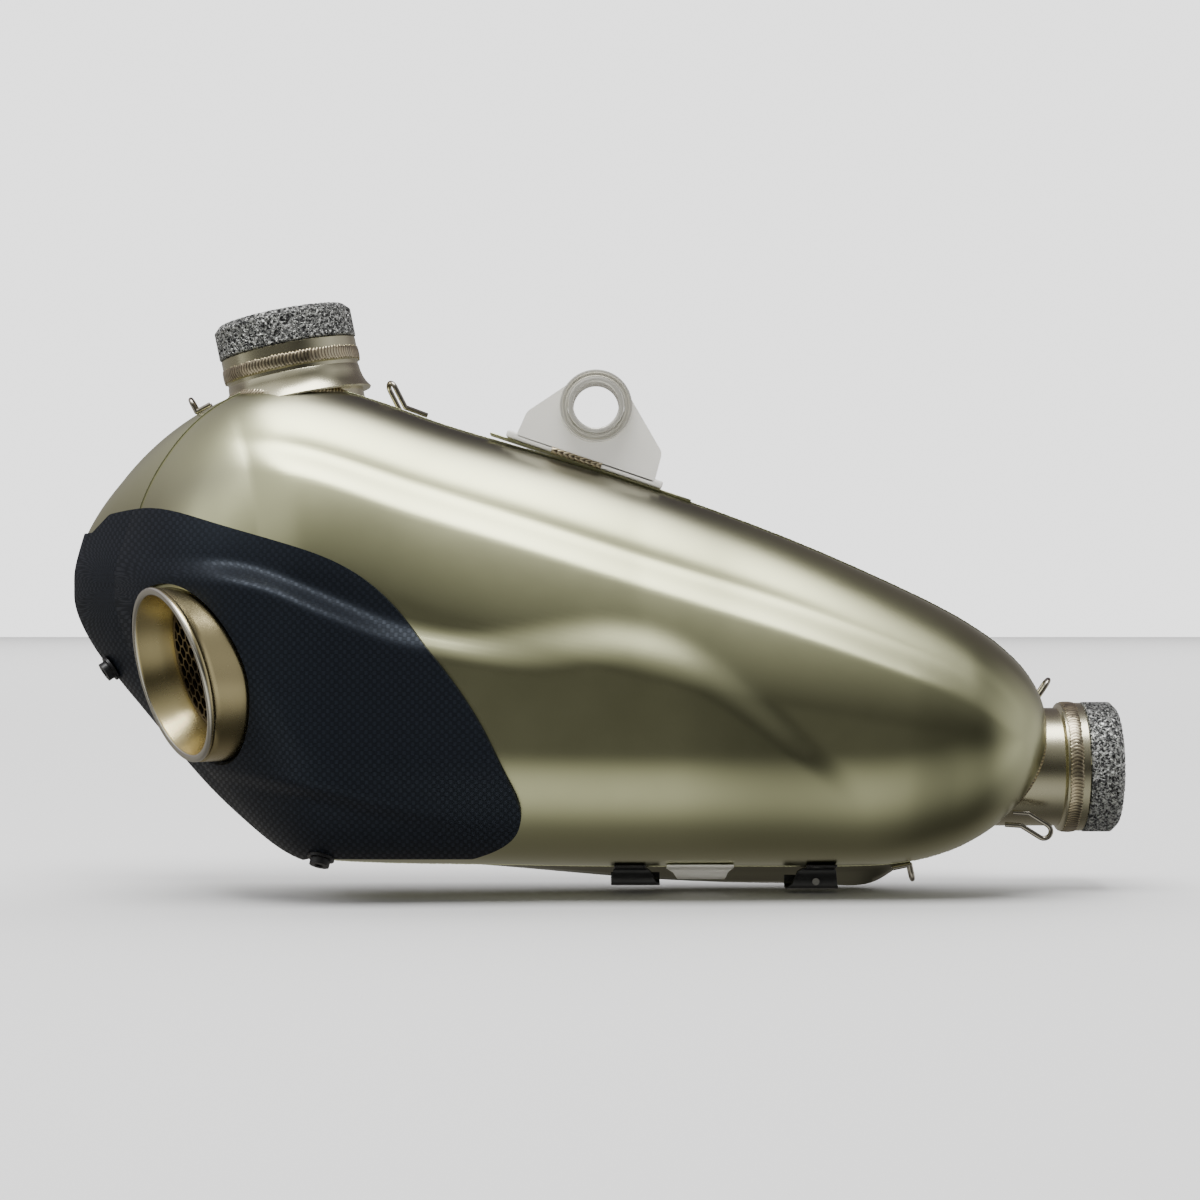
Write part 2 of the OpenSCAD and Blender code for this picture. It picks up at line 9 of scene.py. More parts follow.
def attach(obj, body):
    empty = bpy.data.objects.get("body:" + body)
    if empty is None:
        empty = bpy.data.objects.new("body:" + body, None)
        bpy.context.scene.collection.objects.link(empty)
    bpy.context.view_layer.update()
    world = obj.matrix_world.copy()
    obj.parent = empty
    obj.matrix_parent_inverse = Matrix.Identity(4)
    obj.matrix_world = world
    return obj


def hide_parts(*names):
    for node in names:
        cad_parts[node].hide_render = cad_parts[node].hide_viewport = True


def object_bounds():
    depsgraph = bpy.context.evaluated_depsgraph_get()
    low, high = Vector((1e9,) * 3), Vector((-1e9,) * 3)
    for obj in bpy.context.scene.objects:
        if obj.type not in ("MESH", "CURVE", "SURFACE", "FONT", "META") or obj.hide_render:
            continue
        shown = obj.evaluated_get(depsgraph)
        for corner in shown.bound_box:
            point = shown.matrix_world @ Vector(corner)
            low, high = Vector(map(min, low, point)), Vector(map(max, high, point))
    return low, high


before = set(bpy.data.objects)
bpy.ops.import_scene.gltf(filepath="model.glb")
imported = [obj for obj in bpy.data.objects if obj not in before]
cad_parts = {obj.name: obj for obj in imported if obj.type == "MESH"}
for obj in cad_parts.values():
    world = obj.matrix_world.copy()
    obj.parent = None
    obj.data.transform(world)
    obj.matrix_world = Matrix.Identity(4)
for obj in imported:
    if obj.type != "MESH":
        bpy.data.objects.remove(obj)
cad_low, cad_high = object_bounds()
MM = 0.001

# --- lines that shape the body, in millimetres -------------------------------------------
TOP_EDGE = [
    (-238, -88), (-233, -68), (-226, -46), (-214, -24), (-197, -5), (-177, 7), (-155, 12),
    (-132, 9), (-108, 2), (-80, -8), (-40, -20), (0, -32), (50, -49), (100, -68), (150, -90),
    (178, -104), (203, -121), (219, -140), (224, -162),
]
BOTTOM_EDGE = [
    (219, -183), (207, -201), (184, -218), (154, -227), (120, -229), (60, -229), (0, -229),
    (-60, -228), (-124, -226.5), (-149, -222), (-168, -207), (-187, -184), (-204, -159),
    (-220, -136), (-232, -113),
]
LEDGE_LINE = [
    (-250, -24), (-205, -24), (-147, -31), (-87, -48), (-27, -67), (32, -86), (92, -105),
    (152, -127), (185, -142), (206, -160), (226, -196),
]
SWELL_LINE = [
    (-240, -82), (-200, -84), (-157, -94), (-121, -104), (-95, -112), (-57, -119), (-27, -119),
    (3, -116), (33, -121), (63, -137), (93, -162), (123, -188), (160, -225),
]
BELLY_LINE = [
    (-240, 0), (-190, 0), (-150, 4), (-100, 6), (-40, 9), (20, 14), (60, 17), (120, 18),
    (142, 17), (156, 9), (170, 6), (190, 9), (215, 6), (235, 0),
]
CREASE_LINE = [
    (-240, -170), (-200, -178), (-180, -182), (-142, -187), (-99, -195), (-42, -206), (0, -214),
]
CAP_EDGE = [
    (-300, -64), (-258, -62), (-247, -53), (-220, -51), (-185, -59), (-147, -70), (-123, -79),
    (-104, -92), (-84, -115), (-68, -136), (-53, -160), (-42, -183), (-36, -202), (-38, -209),
    (-50, -219), (-60, -223), (-140, -223.5), (-156, -230), (-170, -245), (-300, -245),
]
CAP_PLAN = [(-300, 40), (-232, 40), (-150, -1.5), (-20, -1.5), (-20, -120), (-300, -120)]

FRONT_DEPTH, REAR_DEPTH, SHELL_WALL = 51.0, 62.0, 1.2
LEDGE_HEIGHT, SWELL_HEIGHT, COWL_HEIGHT = 5.0, 5.5, 7.5
GROOVE_DEPTH = 0.9
REAR_ROUND, FRONT_ROUND = 36, 44    # length over which the body closes at its two ends
SHOULDER_REACH, LOW_REACH = 95, 60  # widest rolled edge above and below the outer face
BELLY_SHARE = 0.91                  # how much of the belly's drop the sheet shows
CAP_GAP, CAP_WALL = 1.0, 1.8
TIP_RADIUS, OUTLET_TURN, RIM_LEAN, RIM_TURN = 43.0, 32.6, 14.7, 2.4
REAR_X, FRONT_X = -238.0, 224.0


def spline(points, closed=False, steps=14):
    """Curve through the points whose bend changes smoothly."""
    p = np.array(points, float)
    q = np.vstack([p, p[:1]]) if closed else p
    h = np.linalg.norm(np.diff(q, axis=0), axis=1)
    n = len(q)
    system, right = np.zeros((n, n)), np.zeros((n, p.shape[1]))
    for i in range(1, n - 1):
        system[i, i - 1:i + 2] = h[i - 1], 2 * (h[i - 1] + h[i]), h[i]
        right[i] = 6 * ((q[i + 1] - q[i]) / h[i] - (q[i] - q[i - 1]) / h[i - 1])
    if closed:
        system[0, [0, 1, n - 2]] = 2 * (h[0] + h[-1]), h[0], h[-1]
        right[0] = 6 * ((q[1] - q[0]) / h[0] - (q[0] - q[-2]) / h[-1])
        system[-1, 0], system[-1, -1] = 1, -1
    else:
        system[0, 0] = system[-1, -1] = 1
    bend = np.linalg.solve(system, right)
    out = []
    for i in range(n - 1):
        for k in range(steps):
            t = h[i] * k / steps
            u = h[i] - t
            out.append(
                (bend[i] * u**3 + bend[i + 1] * t**3) / (6 * h[i])
                + (q[i] / h[i] - bend[i] * h[i] / 6) * u
                + (q[i + 1] / h[i] - bend[i + 1] * h[i] / 6) * t
            )
    return np.array(out + [q[-1]])


def table(curve):
    """Height over x of a curve that runs one way along x."""
    xs = np.maximum.accumulate(curve[:, 0]) + np.arange(len(curve)) * 1e-7
    return xs, curve[:, 1]


EDGE = spline(TOP_EDGE + BOTTOM_EDGE, closed=True)
SPLIT = (len(TOP_EDGE) - 1) * 14
TOP = table(EDGE[:SPLIT + 1])
BOTTOM = table(EDGE[SPLIT:][::-1])
LEDGE, SWELL = table(spline(LEDGE_LINE)), table(spline(SWELL_LINE))
BELLY, CREASE = table(spline(BELLY_LINE)), table(spline(CREASE_LINE))


def at(x, tab):
    return np.interp(x, *tab)


def ease(t):
    """Smooth step from 0 to 1."""
    u = np.clip(t, 0, 1)
    return u * u * (3 - 2 * u)


def round_over(d, r, p):
    """Rolled edge: 0 at the edge, 1 from the distance r inwards. p is 2 for an ellipse."""
    t = np.clip(d / r, 0, 1)
    return (1 - (1 - t) ** p) ** (1 / p)


def end_round(x):
    """Closes the body at its rear and front tips."""
    return round_over(x - REAR_X, REAR_ROUND, 2.8) * round_over(FRONT_X - x, FRONT_ROUND, 2.3)


def skew(x, inner=0):
    """How much the rear end leans, so that it faces along the outlet."""
    return (1 + 0.25 * inner) * math.tan(math.radians(OUTLET_TURN)) * (1 - ease((x + 235) / 150))


def step_down(tab, x, z, width):
    """1 below the line, 0 above it, eased over the width."""
    return ease((at(x, tab) - z) / width + 0.5)


def front_y(x, z, zt, zb):
    """Outer face, with the pressed ledge, the swell and the groove beside the ledge."""
    h = zt - zb
    swell_width = 15 + 11 * ease((x + 75) / 60) * (1 - 0.7 * ease((x - 40) / 70))
    steps = (
        LEDGE_HEIGHT * ease((x + 215) / 60) * step_down(LEDGE, x, z, 16)
        + SWELL_HEIGHT * (1 - ease((x - 40) / 92)) * step_down(SWELL, x, z, swell_width)
        - GROOVE_DEPTH * ease((x + 215) / 60) * (1 - ease((x - 60) / 110))
        * np.exp(-((z - at(x, LEDGE) - 7.5) / 5) ** 2)
    )
    nose = ease((x - 60) / 130)
    top_r = np.maximum(1, np.minimum(SHOULDER_REACH, 0.5 * h))
    low_r = np.maximum(1, np.minimum(LOW_REACH, (0.35 + 0.15 * nose) * h))
    return (
        -(FRONT_DEPTH + steps * (1 - 0.8 * ease((x - 150) / 60)))
        * round_over(zt - z, top_r, 1.6 + 0.45 * nose) * round_over(z - zb, low_r, 2)
        * end_round(x)
    )


def rear_y(x, z, zt, zb):
    """Inner face, with rolled edges."""
    r = np.maximum(1, np.minimum(48, 0.4 * (zt - zb)))
    return REAR_DEPTH * round_over(zt - z, r, 2) * round_over(z - zb, r, 2) * end_round(x)


def belly(x, b):
    """Drop of the inner half below the seam. b is the height over its lower edge."""
    return BELLY_SHARE * at(x, BELLY) * ease(b / 4) * (1 - ease((b - 6) / 90))


def cowl(x, z):
    """How far the end cap stands up round the outlet, and the fold line along its foot."""
    raised = (
        COWL_HEIGHT * ease((x + 236) / 40) * (1 - ease((x + 150) / 95))
        * step_down(SWELL, x, z, 10) * (1 - step_down(CREASE, x, z, 10))
    )
    fold = ease((x + 205) / 40) * (1 - ease((x + 90) / 50))
    return raised + 1.5 * fold * np.exp(-((z - at(x, CREASE) - 2) / 6) ** 2)


def body_point(params, d, with_cowl=0.0):
    """Points of the body in mm. s runs from the rear tip to the front tip; w runs 0 to 1 down
    the outer half, then 1 to 2 up the inner half; d is the offset outwards."""
    s, w = params[:, 0], params[:, 1]
    x = REAR_X + (FRONT_X - REAR_X) * (1 - np.cos(np.pi * s)) / 2
    zt, zb = at(x, TOP), at(x, BOTTOM)
    outer = w <= 1
    u = (1 - np.cos(np.pi * np.where(outer, w, w - 1))) / 2
    out_x = x - d * (1 - 2 * (x - REAR_X) / (FRONT_X - REAR_X))
    zf = zt + (zb - zt) * u
    yf = front_y(x, zf, zt, zb) * (1 + d / FRONT_DEPTH)
    front = np.stack([
        out_x - skew(x) * yf, yf - with_cowl * cowl(x, zf), zf + d * (1 - 2 * u)], axis=1)
    zr = zb + (zt - zb) * u
    yr = rear_y(x, zr, zt, zb) * (1 + d / REAR_DEPTH)
    rear = np.stack([
        out_x - skew(x, 1) * yr, yr, zr - belly(x, zr - zb) - d * (1 - 2 * u)], axis=1)
    return np.where(outer[:, None], front, rear)


# --- places --------------------------------------------------------------------------------
def turn(axis, degrees):
    return Matrix.Rotation(math.radians(degrees), 4, axis)


OUTLET_AT = (-205.9, -39, -133)
AT_OUTLET = Matrix.Translation(OUTLET_AT) @ turn("Z", OUTLET_TURN) @ turn("Y", -90)
AT_RIM = AT_OUTLET @ turn("X", -RIM_TURN) @ turn("Y", -RIM_LEAN)
AT_TOP = Matrix.Translation((-156.8, 24, 31)) @ turn("Y", -11.6)
AT_FRONT = Matrix.Translation((247, 26.5, -181.5)) @ turn("Y", 90)


def placed(matrix, points):
    m = np.array(matrix)
    return np.asarray(points, float) @ m[:3, :3].T + m[:3, 3]


def axis_distance(points, matrix):
    """Distance from the local Z axis of a place, and the height along it."""
    local = placed(matrix.inverted(), points)
    return np.hypot(local[:, 0], local[:, 1]), local[:, 2]


def bore_field(matrix, radius, low, high):
    """Positive outside a round hole."""
    def field(points):
        r, h = axis_distance(points, matrix)
        return np.where((h > low) & (h < high), r - radius, 50.0)
    return field


def outline_field(outline, columns):
    """Positive inside a closed outline drawn on two of the axes."""
    p = np.array(outline, float)
    q = np.roll(p, -1, axis=0)

    def field(points):
        xy = points[:, columns]
        best = np.full(len(xy), 1e9)
        inside = np.zeros(len(xy), bool)
        for a, b in zip(p, q):
            ab, ap = b - a, xy - a
            t = np.clip((ap @ ab) / (ab @ ab), 0, 1)
            best = np.minimum(best, np.linalg.norm(ap - t[:, None] * ab, axis=1))
            if a[1] != b[1]:
                cross = (a[1] > xy[:, 1]) != (b[1] > xy[:, 1])
                inside ^= cross & (xy[:, 0] < ab[0] * (xy[:, 1] - a[1]) / ab[1] + a[0])
        return np.where(inside, best, -best)
    return field


# --- mesh building ---------------------------------------------------------------------------
def make(name, points, faces, material, body="muffler", sharp=35):
    """A smooth-shaded piece from points in millimetres."""
    mesh = bpy.data.meshes.new(name)
    mesh.from_pydata((np.asarray(points, float) * MM).tolist(), [], [list(f) for f in faces])
    mesh.polygons.foreach_set("use_smooth", [True] * len(mesh.polygons))
    mesh.update()
    if sharp:
        mesh.set_sharp_from_angle(angle=math.radians(sharp))
    obj = bpy.data.objects.new(name, mesh)
    bpy.context.scene.collection.objects.link(obj)
    mesh.materials.append(material)
    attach(obj, body)
    return obj


def bevel(obj, width, segments):
    b = obj.modifiers.new("edges", "BEVEL")
    b.width, b.segments, b.limit_method = width * MM, segments, "ANGLE"
    b.angle_limit = math.radians(50)
    b.harden_normals = True
    return obj


def cut(params, faces, surface, field):
    """Trims faces to where field is positive, with new points on the exact line."""
    g = field(surface(params))
    pairs = {}
    kept = []
    for f in faces:
        signs = [g[i] >= 0 for i in f]
        if all(signs):
            kept.append(f)
        elif any(signs):
            new = []
            for a, b in zip(f, f[1:] + f[:1]):
                if g[a] >= 0:
                    new.append(a)
                if (g[a] >= 0) != (g[b] >= 0):
                    key = (a, b) if g[a] >= 0 else (b, a)
                    new.append(pairs.setdefault(key, len(params) + len(pairs)))
            kept.append(tuple(new))
    if pairs:
        ends = np.array(list(pairs))
        good, bad = params[ends[:, 0]], params[ends[:, 1]]
        for _ in range(14):
            middle = (good + bad) / 2
            ok = (field(surface(middle)) >= 0)[:, None]
            good, bad = np.where(ok, middle, good), np.where(ok, bad, middle)
        params = np.vstack([params, good])
    return params, kept


def trimmed(s_values, w_values, surface, fields):
    """Parameters and faces of a surface grid, cut by the fields and with joined seams."""
    rows = len(w_values)
    params = np.array([(s, w) for s in s_values for w in w_values])
    faces = [
        (a, a + 1, a + rows + 1, a + rows)
        for i in range(len(s_values) - 1)
        for a in range(i * rows, i * rows + rows - 1)
    ]
    for field in fields:
        params, faces = cut(params, faces, surface, field)
    keys = np.round(surface(params), 3)
    _, first, same = np.unique(keys, axis=0, return_index=True, return_inverse=True)
    same = first[np.ravel(same)]
    clean = []
    for f in faces:
        g = []
        for i in f:
            if not g or same[i] != g[-1]:
                g.append(int(same[i]))
        while len(g) > 1 and g[0] == g[-1]:
            g.pop()
        if len(set(g)) == len(g) and len(g) > 2:
            clean.append(tuple(g))
    used = sorted({i for f in clean for i in f})
    slot = {old: new for new, old in enumerate(used)}
    return params[used], [tuple(slot[i] for i in f) for f in clean]


def boundary(faces):
    """Directed edges that belong to one face."""
    edges = {}
    for f in faces:
        for a, b in zip(f, f[1:] + f[:1]):
            edges[(a, b)] = edges.get((a, b), 0) + 1
    return [e for e in edges if (e[1], e[0]) not in edges]


def thick_sheet(outer, inner, faces):
    """Closed sheet from two offset surfaces with the same faces."""
    n = len(outer)
    rim = [(b, a, a + n, b + n) for a, b in boundary(faces)]
    return np.vstack([outer, inner]), faces + [tuple(i + n for i in f[::-1]) for f in faces] + rim


def loops_of(faces):
    """Boundary edges of the faces as closed loops of point numbers."""
    following = dict(boundary(faces))
    loops = []
    while following:
        start, nxt = next(iter(following.items()))
        loop = [start]
        del following[start]
        while nxt in following:
            loop.append(nxt)
            nxt = following.pop(nxt)
        loops.append(loop)
    return loops


def resample(path, step, closed):
    p = np.asarray(path, float)
    if closed:
        p = np.vstack([p, p[:1]])
    along = np.concatenate([[0], np.cumsum(np.linalg.norm(np.diff(p, axis=0), axis=1))])
    count = max(4, int(along[-1] / step))
    t = np.linspace(0, along[-1], count, endpoint=not closed)
    return np.stack([np.interp(t, along, p[:, k]) for k in range(3)], axis=1), along[-1]


def sweep(path, closed, sides, up):
    """Round tube of radius 1 along a path. up gives each point's upward direction."""
    p = np.asarray(path, float)
    if closed:
        t = np.roll(p, -1, axis=0) - np.roll(p, 1, axis=0)
    else:
        t = np.gradient(p, axis=0)
    t /= np.linalg.norm(t, axis=1)[:, None]
    v = up(p) if callable(up) else np.tile(np.array(up, float), (len(p), 1))
    v = v - (v * t).sum(1)[:, None] * t
    v /= np.maximum(np.linalg.norm(v, axis=1), 1e-9)[:, None]
    w = np.cross(t, v)
    a = np.linspace(0, 2 * np.pi, sides, endpoint=False)
    rings = (
        p[:, None, :] + np.cos(a)[None, :, None] * w[:, None, :]
        + np.sin(a)[None, :, None] * v[:, None, :]
    )
    faces = []
    n = len(p)
    for i in range(n if closed else n - 1):
        j = (i + 1) % n
        for k in range(sides):
            m = (k + 1) % sides
            faces.append((i * sides + k, i * sides + m, j * sides + m, j * sides + k))
    if not closed:
        faces.append(tuple(range(sides))[::-1])
        faces.append(tuple(range((n - 1) * sides, n * sides)))
    return rings, faces


def bead(name, path, material, width, height, pitch, closed=True, up=(0, 1, 0)):
    """Weld bead with the overlapping curved scales that a welder's steps leave. Its width and
    height are the tube's two radii, and pitch is the length of a scale, in millimetres."""
    p, length = resample(path, pitch / 7, closed)
    sides = 16
    rings, faces = sweep(p, closed, sides, up)
    out = rings - p[:, None, :]
    a = np.linspace(0, 2 * np.pi, sides, endpoint=False)
    phase = np.arange(len(p)) / len(p) * max(1, round(length / pitch))
    wobble = 1 + 0.05 * np.sin(phase * 2.399) + 0.04 * np.sin(phase * 0.73)
    scale = 1 - (phase[:, None] - 0.8 * np.cos(a)[None, :] ** 2) % 1
    size = (0.80 + 0.30 * scale ** 0.6) * wobble[:, None]
    across = (out * out[:, :1]).sum(2)[..., None] * out[:, :1]
    points = p[:, None, :] + across * width * size[..., None] \
        + (out - across) * height * size[..., None]
    obj = make(name, points.reshape(-1, 3), faces, material, sharp=0)
    ripple = obj.data.attributes.new("ripple", "FLOAT", "POINT")
    ripple.data.foreach_set("value", scale.ravel())
    return obj


def closed_grid(rows, columns):
    """Faces of a grid of points that closes on itself both ways."""
    return [
        (i * columns + k, (i + 1) % rows * columns + k,
         (i + 1) % rows * columns + (k + 1) % columns, i * columns + (k + 1) % columns)
        for i in range(rows) for k in range(columns)
    ]


def revolve(name, profile, matrix, material, segments=96):
    """Turned piece: a closed profile of radius and height about the local Z axis of a place."""
    prof = np.array(profile, float)
    a = np.linspace(0, 2 * np.pi, segments, endpoint=False)
    rings = np.stack([
        np.outer(np.cos(a), prof[:, 0]), np.outer(np.sin(a), prof[:, 0]),
        np.tile(prof[:, 1], (segments, 1))], axis=2)
    faces = closed_grid(segments, len(prof))
    return make(name, placed(matrix, rings.reshape(-1, 3)), faces, material)


def soften(corners, radius, steps=4):
    """Outline with rounded corners."""
    p = np.array(corners, float)
    out = []
    for i in range(len(p)):
        a, b, c = p[i - 1], p[i], p[(i + 1) % len(p)]
        ra = min(radius, np.linalg.norm(a - b) * 0.45)
        rc = min(radius, np.linalg.norm(c - b) * 0.45)
        start = b + (a - b) / np.linalg.norm(a - b) * ra
        end = b + (c - b) / np.linalg.norm(c - b) * rc
        for k in range(steps + 1):
            t = k / steps
            out.append((1 - t) ** 2 * start + 2 * t * (1 - t) * b + t * t * end)
    return np.array(out)


# --- materials -------------------------------------------------------------------------------
class Nodes:
    """Short way to write a material's nodes."""

    def __init__(self, name):
        self.material = bpy.data.materials.new(name)
        self.material.use_nodes = True
        self.tree = self.material.node_tree
        self.shader = self.tree.nodes["Principled BSDF"]
        self.object = self.add("ShaderNodeTexCoord").outputs["Object"]

    def add(self, kind, **settings):
        node = self.tree.nodes.new(kind)
        for key, value in settings.items():
            setattr(node, key, value)
        return node

    def link(self, source, target):
        if isinstance(source, (int, float)):
            target.default_value = source
        elif isinstance(source, tuple):
            target.default_value = source if len(source) > 3 or target.type == "VECTOR" \
                else (*source, 1)
        else:
            self.tree.links.new(source, target)

    def math(self, operation, a, b=0.0):
        node = self.add("ShaderNodeMath", operation=operation)
        self.link(a, node.inputs[0])
        self.link(b, node.inputs[1])
        return node.outputs[0]

    def noise(self, scale, detail, roughness, stretch=None):
        node = self.add("ShaderNodeTexNoise")
        source = self.object
        if stretch:
            mapping = self.add("ShaderNodeMapping")
            self.link(source, mapping.inputs[0])
            mapping.inputs["Scale"].default_value = stretch
            source = mapping.outputs[0]
        self.link(source, node.inputs["Vector"])
        node.inputs["Scale"].default_value = scale
        node.inputs["Detail"].default_value = detail
        node.inputs["Roughness"].default_value = roughness
        return node.outputs[0]

    def spread(self, value, low, high, new_low, new_high):
        node = self.add("ShaderNodeMapRange")
        self.link(value, node.inputs[0])
        for i, x in enumerate((low, high, new_low, new_high)):
            node.inputs[i + 1].default_value = x
        return node.outputs[0]

    def mix(self, factor, a, b):
        node = self.add("ShaderNodeMix", data_type="RGBA")
        self.link(factor, node.inputs[0])
        self.link(a, node.inputs[6])
        self.link(b, node.inputs[7])
        return node.outputs[2]

    def bump(self, height, strength, distance):
        node = self.add("ShaderNodeBump")
        node.inputs["Strength"].default_value = strength
        node.inputs["Distance"].default_value = distance * MM
        self.link(height, node.inputs["Height"])
        self.link(node.outputs[0], self.shader.inputs["Normal"])

    def set(self, **values):
        for key, value in values.items():
            self.link(value, self.shader.inputs[key.replace("_", " ")])


GLOSS_SPREAD = 0.012


def metal(name, colour, second, roughness, grain, bump, cloud, metallic=1.0):
    """Metal with a fine blasted grain, slow colour drift and slightly uneven gloss."""
    n = Nodes(name)
    drift = n.spread(n.noise(cloud, 2, 0.5), 0.25, 0.75, 0.0, 1.0)
    fine = n.noise(grain, 2, 0.6)
    n.set(
        Base_Color=n.mix(drift, colour, second), Metallic=metallic,
        Roughness=n.spread(n.noise(cloud * 3, 5, 0.65), 0.3, 0.7,
                           roughness - GLOSS_SPREAD, roughness + GLOSS_SPREAD),
    )
    n.bump(fine, bump, 0.4)
    return n.material


def body_titanium():
    """Blasted titanium, darkened with painted shade and painted dark reflections where the shells'
    attribute says so.
    """
    n = Nodes("blasted_titanium")
    shade = n.add("ShaderNodeAttribute", attribute_name="shoulder").outputs["Fac"]
    drift = n.spread(n.noise(9, 4, 0.6), 0.3, 0.7, 0.0, 1.0)
    base = n.mix(drift, (0.530, 0.533, 0.325), (0.575, 0.577, 0.358))
    # painted shade and painted reflection: the shells' attribute mixes the colour towards a dark
    # purple-grey
    n.set(
        Base_Color=n.mix(shade, base, (0.105, 0.092, 0.112)),
        Metallic=1.0,
        Roughness=n.spread(n.noise(45, 5, 0.65), 0.3, 0.7, 0.28, 0.30),
    )
    n.bump(n.noise(1900, 2, 0.6), 0.012, 0.35)
    return n.material


def weld_metal():
    """Weld bead whose scales go from dark to pale gold."""
    n = Nodes("weld")
    tint = n.spread(n.noise(150, 3, 0.6), 0.35, 0.65, 0.0, 1.0)
    ripple = n.add("ShaderNodeAttribute", attribute_name="ripple").outputs["Fac"]
    lit = n.mix(tint, (0.62, 0.56, 0.40), (0.72, 0.62, 0.42))
    scales = n.spread(ripple, 0.15, 0.75, 0.0, 1.0)
    n.set(Base_Color=n.mix(scales, (0.17, 0.13, 0.10), lit), Metallic=1.0,
          Roughness=n.spread(n.noise(300, 4, 0.6), 0.3, 0.7, 0.24, 0.40))
    n.bump(n.noise(900, 3, 0.6), 0.10, 0.4)
    return n.material


TOW_WIDTH = 2.0


def carbon():
    """Plain weave of flat tows under satin lacquer."""
    n = Nodes("carbon_twill")
    uv = n.add("ShaderNodeUVMap", uv_map="weave").outputs[0]
    split = n.add("ShaderNodeSeparateXYZ")
    n.link(uv, split.inputs[0])
    u = n.math("MULTIPLY", split.outputs[0], 1 / TOW_WIDTH)
    v = n.math("MULTIPLY", split.outputs[1], 1 / TOW_WIDTH)
    turn_at = n.math("MODULO", n.math("ADD", n.math("ADD", n.math("FLOOR", u),
                                                  n.math("FLOOR", v)), 4000.0), 2.0)
    warp = n.math("LESS_THAN", turn_at, 0.5)
    across_u = n.math("SINE", n.math("MULTIPLY", n.math("FRACT", u), math.pi))
    across_v = n.math("SINE", n.math("MULTIPLY", n.math("FRACT", v), math.pi))
    fibre = n.noise(5200, 2, 0.5)
    pick = n.add("ShaderNodeMix", data_type="FLOAT")
    n.link(warp, pick.inputs[0])
    n.link(across_v, pick.inputs[2])
    n.link(across_u, pick.inputs[3])
    height = n.math("POWER", n.math("ADD", pick.outputs[0], 0.001), 0.32)
    tone = n.math("MULTIPLY", height, n.spread(warp, 0, 1, 0.45, 1.0))
    n.set(
        Base_Color=n.mix(n.math("MULTIPLY", tone, n.spread(fibre, 0.3, 0.7, 0.8, 1.0)),
                         (0.0020, 0.0024, 0.0034), (0.0120, 0.0145, 0.0200)),
        Metallic=0.0, Roughness=n.spread(tone, 0.2, 1.0, 0.54, 0.37),
        Specular_IOR_Level=0.22,
        Specular_Tint=(0.70, 0.82, 1.0),
    )
    n.bump(height, 0.28, 0.12)
    return n.material


def black_paint(name, roughness):
    """Satin black coating, worn grey in places."""
    n = Nodes(name)
    worn = n.spread(n.noise(260, 5, 0.7), 0.60, 0.72, 0.0, 0.5)
    n.set(Base_Color=n.mix(worn, (0.012, 0.012, 0.013), (0.045, 0.043, 0.040)), Metallic=0.0,
          Roughness=n.spread(n.noise(120, 4, 0.6), 0.3, 0.7, roughness - 0.07, roughness + 0.07))
    n.bump(n.noise(1500, 2, 0.5), 0.08, 0.3)
    return n.material


def wire_mesh():
    """Pressed knitted wire with graphite between the strands."""
    n = Nodes("pressed_wire_mesh")
    warped = n.add("ShaderNodeVectorMath", operation="ADD")
    wander = n.add("ShaderNodeVectorMath", operation="SCALE")
    noise = n.add("ShaderNodeTexNoise")
    n.link(n.object, noise.inputs["Vector"])
    noise.inputs["Scale"].default_value = 380
    n.link(noise.outputs["Color"], wander.inputs[0])
    wander.inputs["Scale"].default_value = 0.0032
    n.link(n.object, warped.inputs[0])
    n.link(wander.outputs[0], warped.inputs[1])
    strands = []
    for scale in (400, 580):
        cell = n.add("ShaderNodeTexVoronoi", feature="DISTANCE_TO_EDGE")
        n.link(warped.outputs[0], cell.inputs["Vector"])
        cell.inputs["Scale"].default_value = scale
        strands.append(n.spread(cell.outputs["Distance"], 0.02, 0.16, 1.0, 0.0))
    wires = n.math("MAXIMUM", strands[0], strands[1])
    speck = n.spread(n.noise(640, 3, 0.7), 0.43, 0.58, 0.04, 1.0)
    lit = n.math("MULTIPLY", wires, speck)
    n.set(
        Base_Color=n.mix(lit, (0.006, 0.006, 0.007), (0.86, 0.87, 0.84)),
        Metallic=n.spread(lit, 0.1, 0.6, 0.25, 1.0),
        Roughness=n.spread(lit, 0.0, 1.0, 0.65, 0.28),
    )
    n.bump(wires, 0.9, 0.6)
    return n.material


def packing_fibre():
    n = Nodes("packing_fibre")
    n.set(Base_Color=n.mix(n.noise(240, 5, 0.7), (0.70, 0.62, 0.40), (0.86, 0.82, 0.64)),
          Metallic=0.0, Roughness=0.9)
    n.bump(n.noise(900, 4, 0.7, stretch=(1, 1, 0.2)), 0.6, 0.8)
    return n.material


TITANIUM = body_titanium()
WELD = weld_metal()
CARBON = carbon()
GOLD = metal("gold_titanium", (0.56, 0.480, 0.262), (0.60, 0.510, 0.280), 0.27, 1600, 0.03, 22)
LIP = metal("rim_titanium", (0.66, 0.63, 0.55), (0.70, 0.67, 0.58), 0.25, 1600, 0.03, 30)
PALE = metal("machined_titanium", (0.95, 0.93, 0.86), (0.92, 0.90, 0.82), 0.46, 1300, 0.03, 40,
             metallic=0.08)
NECK = metal("drawn_titanium", (0.64, 0.61, 0.44), (0.56, 0.52, 0.37), 0.27, 1500, 0.03, 24)
STEEL = metal("stainless", (0.50, 0.48, 0.45), (0.42, 0.40, 0.37), 0.36, 900, 0.05, 30)
WIRE = metal("bright_wire", (0.42, 0.39, 0.33), (0.33, 0.30, 0.26), 0.24, 900, 0.04, 90)
GRILLE = metal("browned_sheet", (0.20, 0.155, 0.105), (0.13, 0.10, 0.07), 0.42, 900, 0.05, 60)
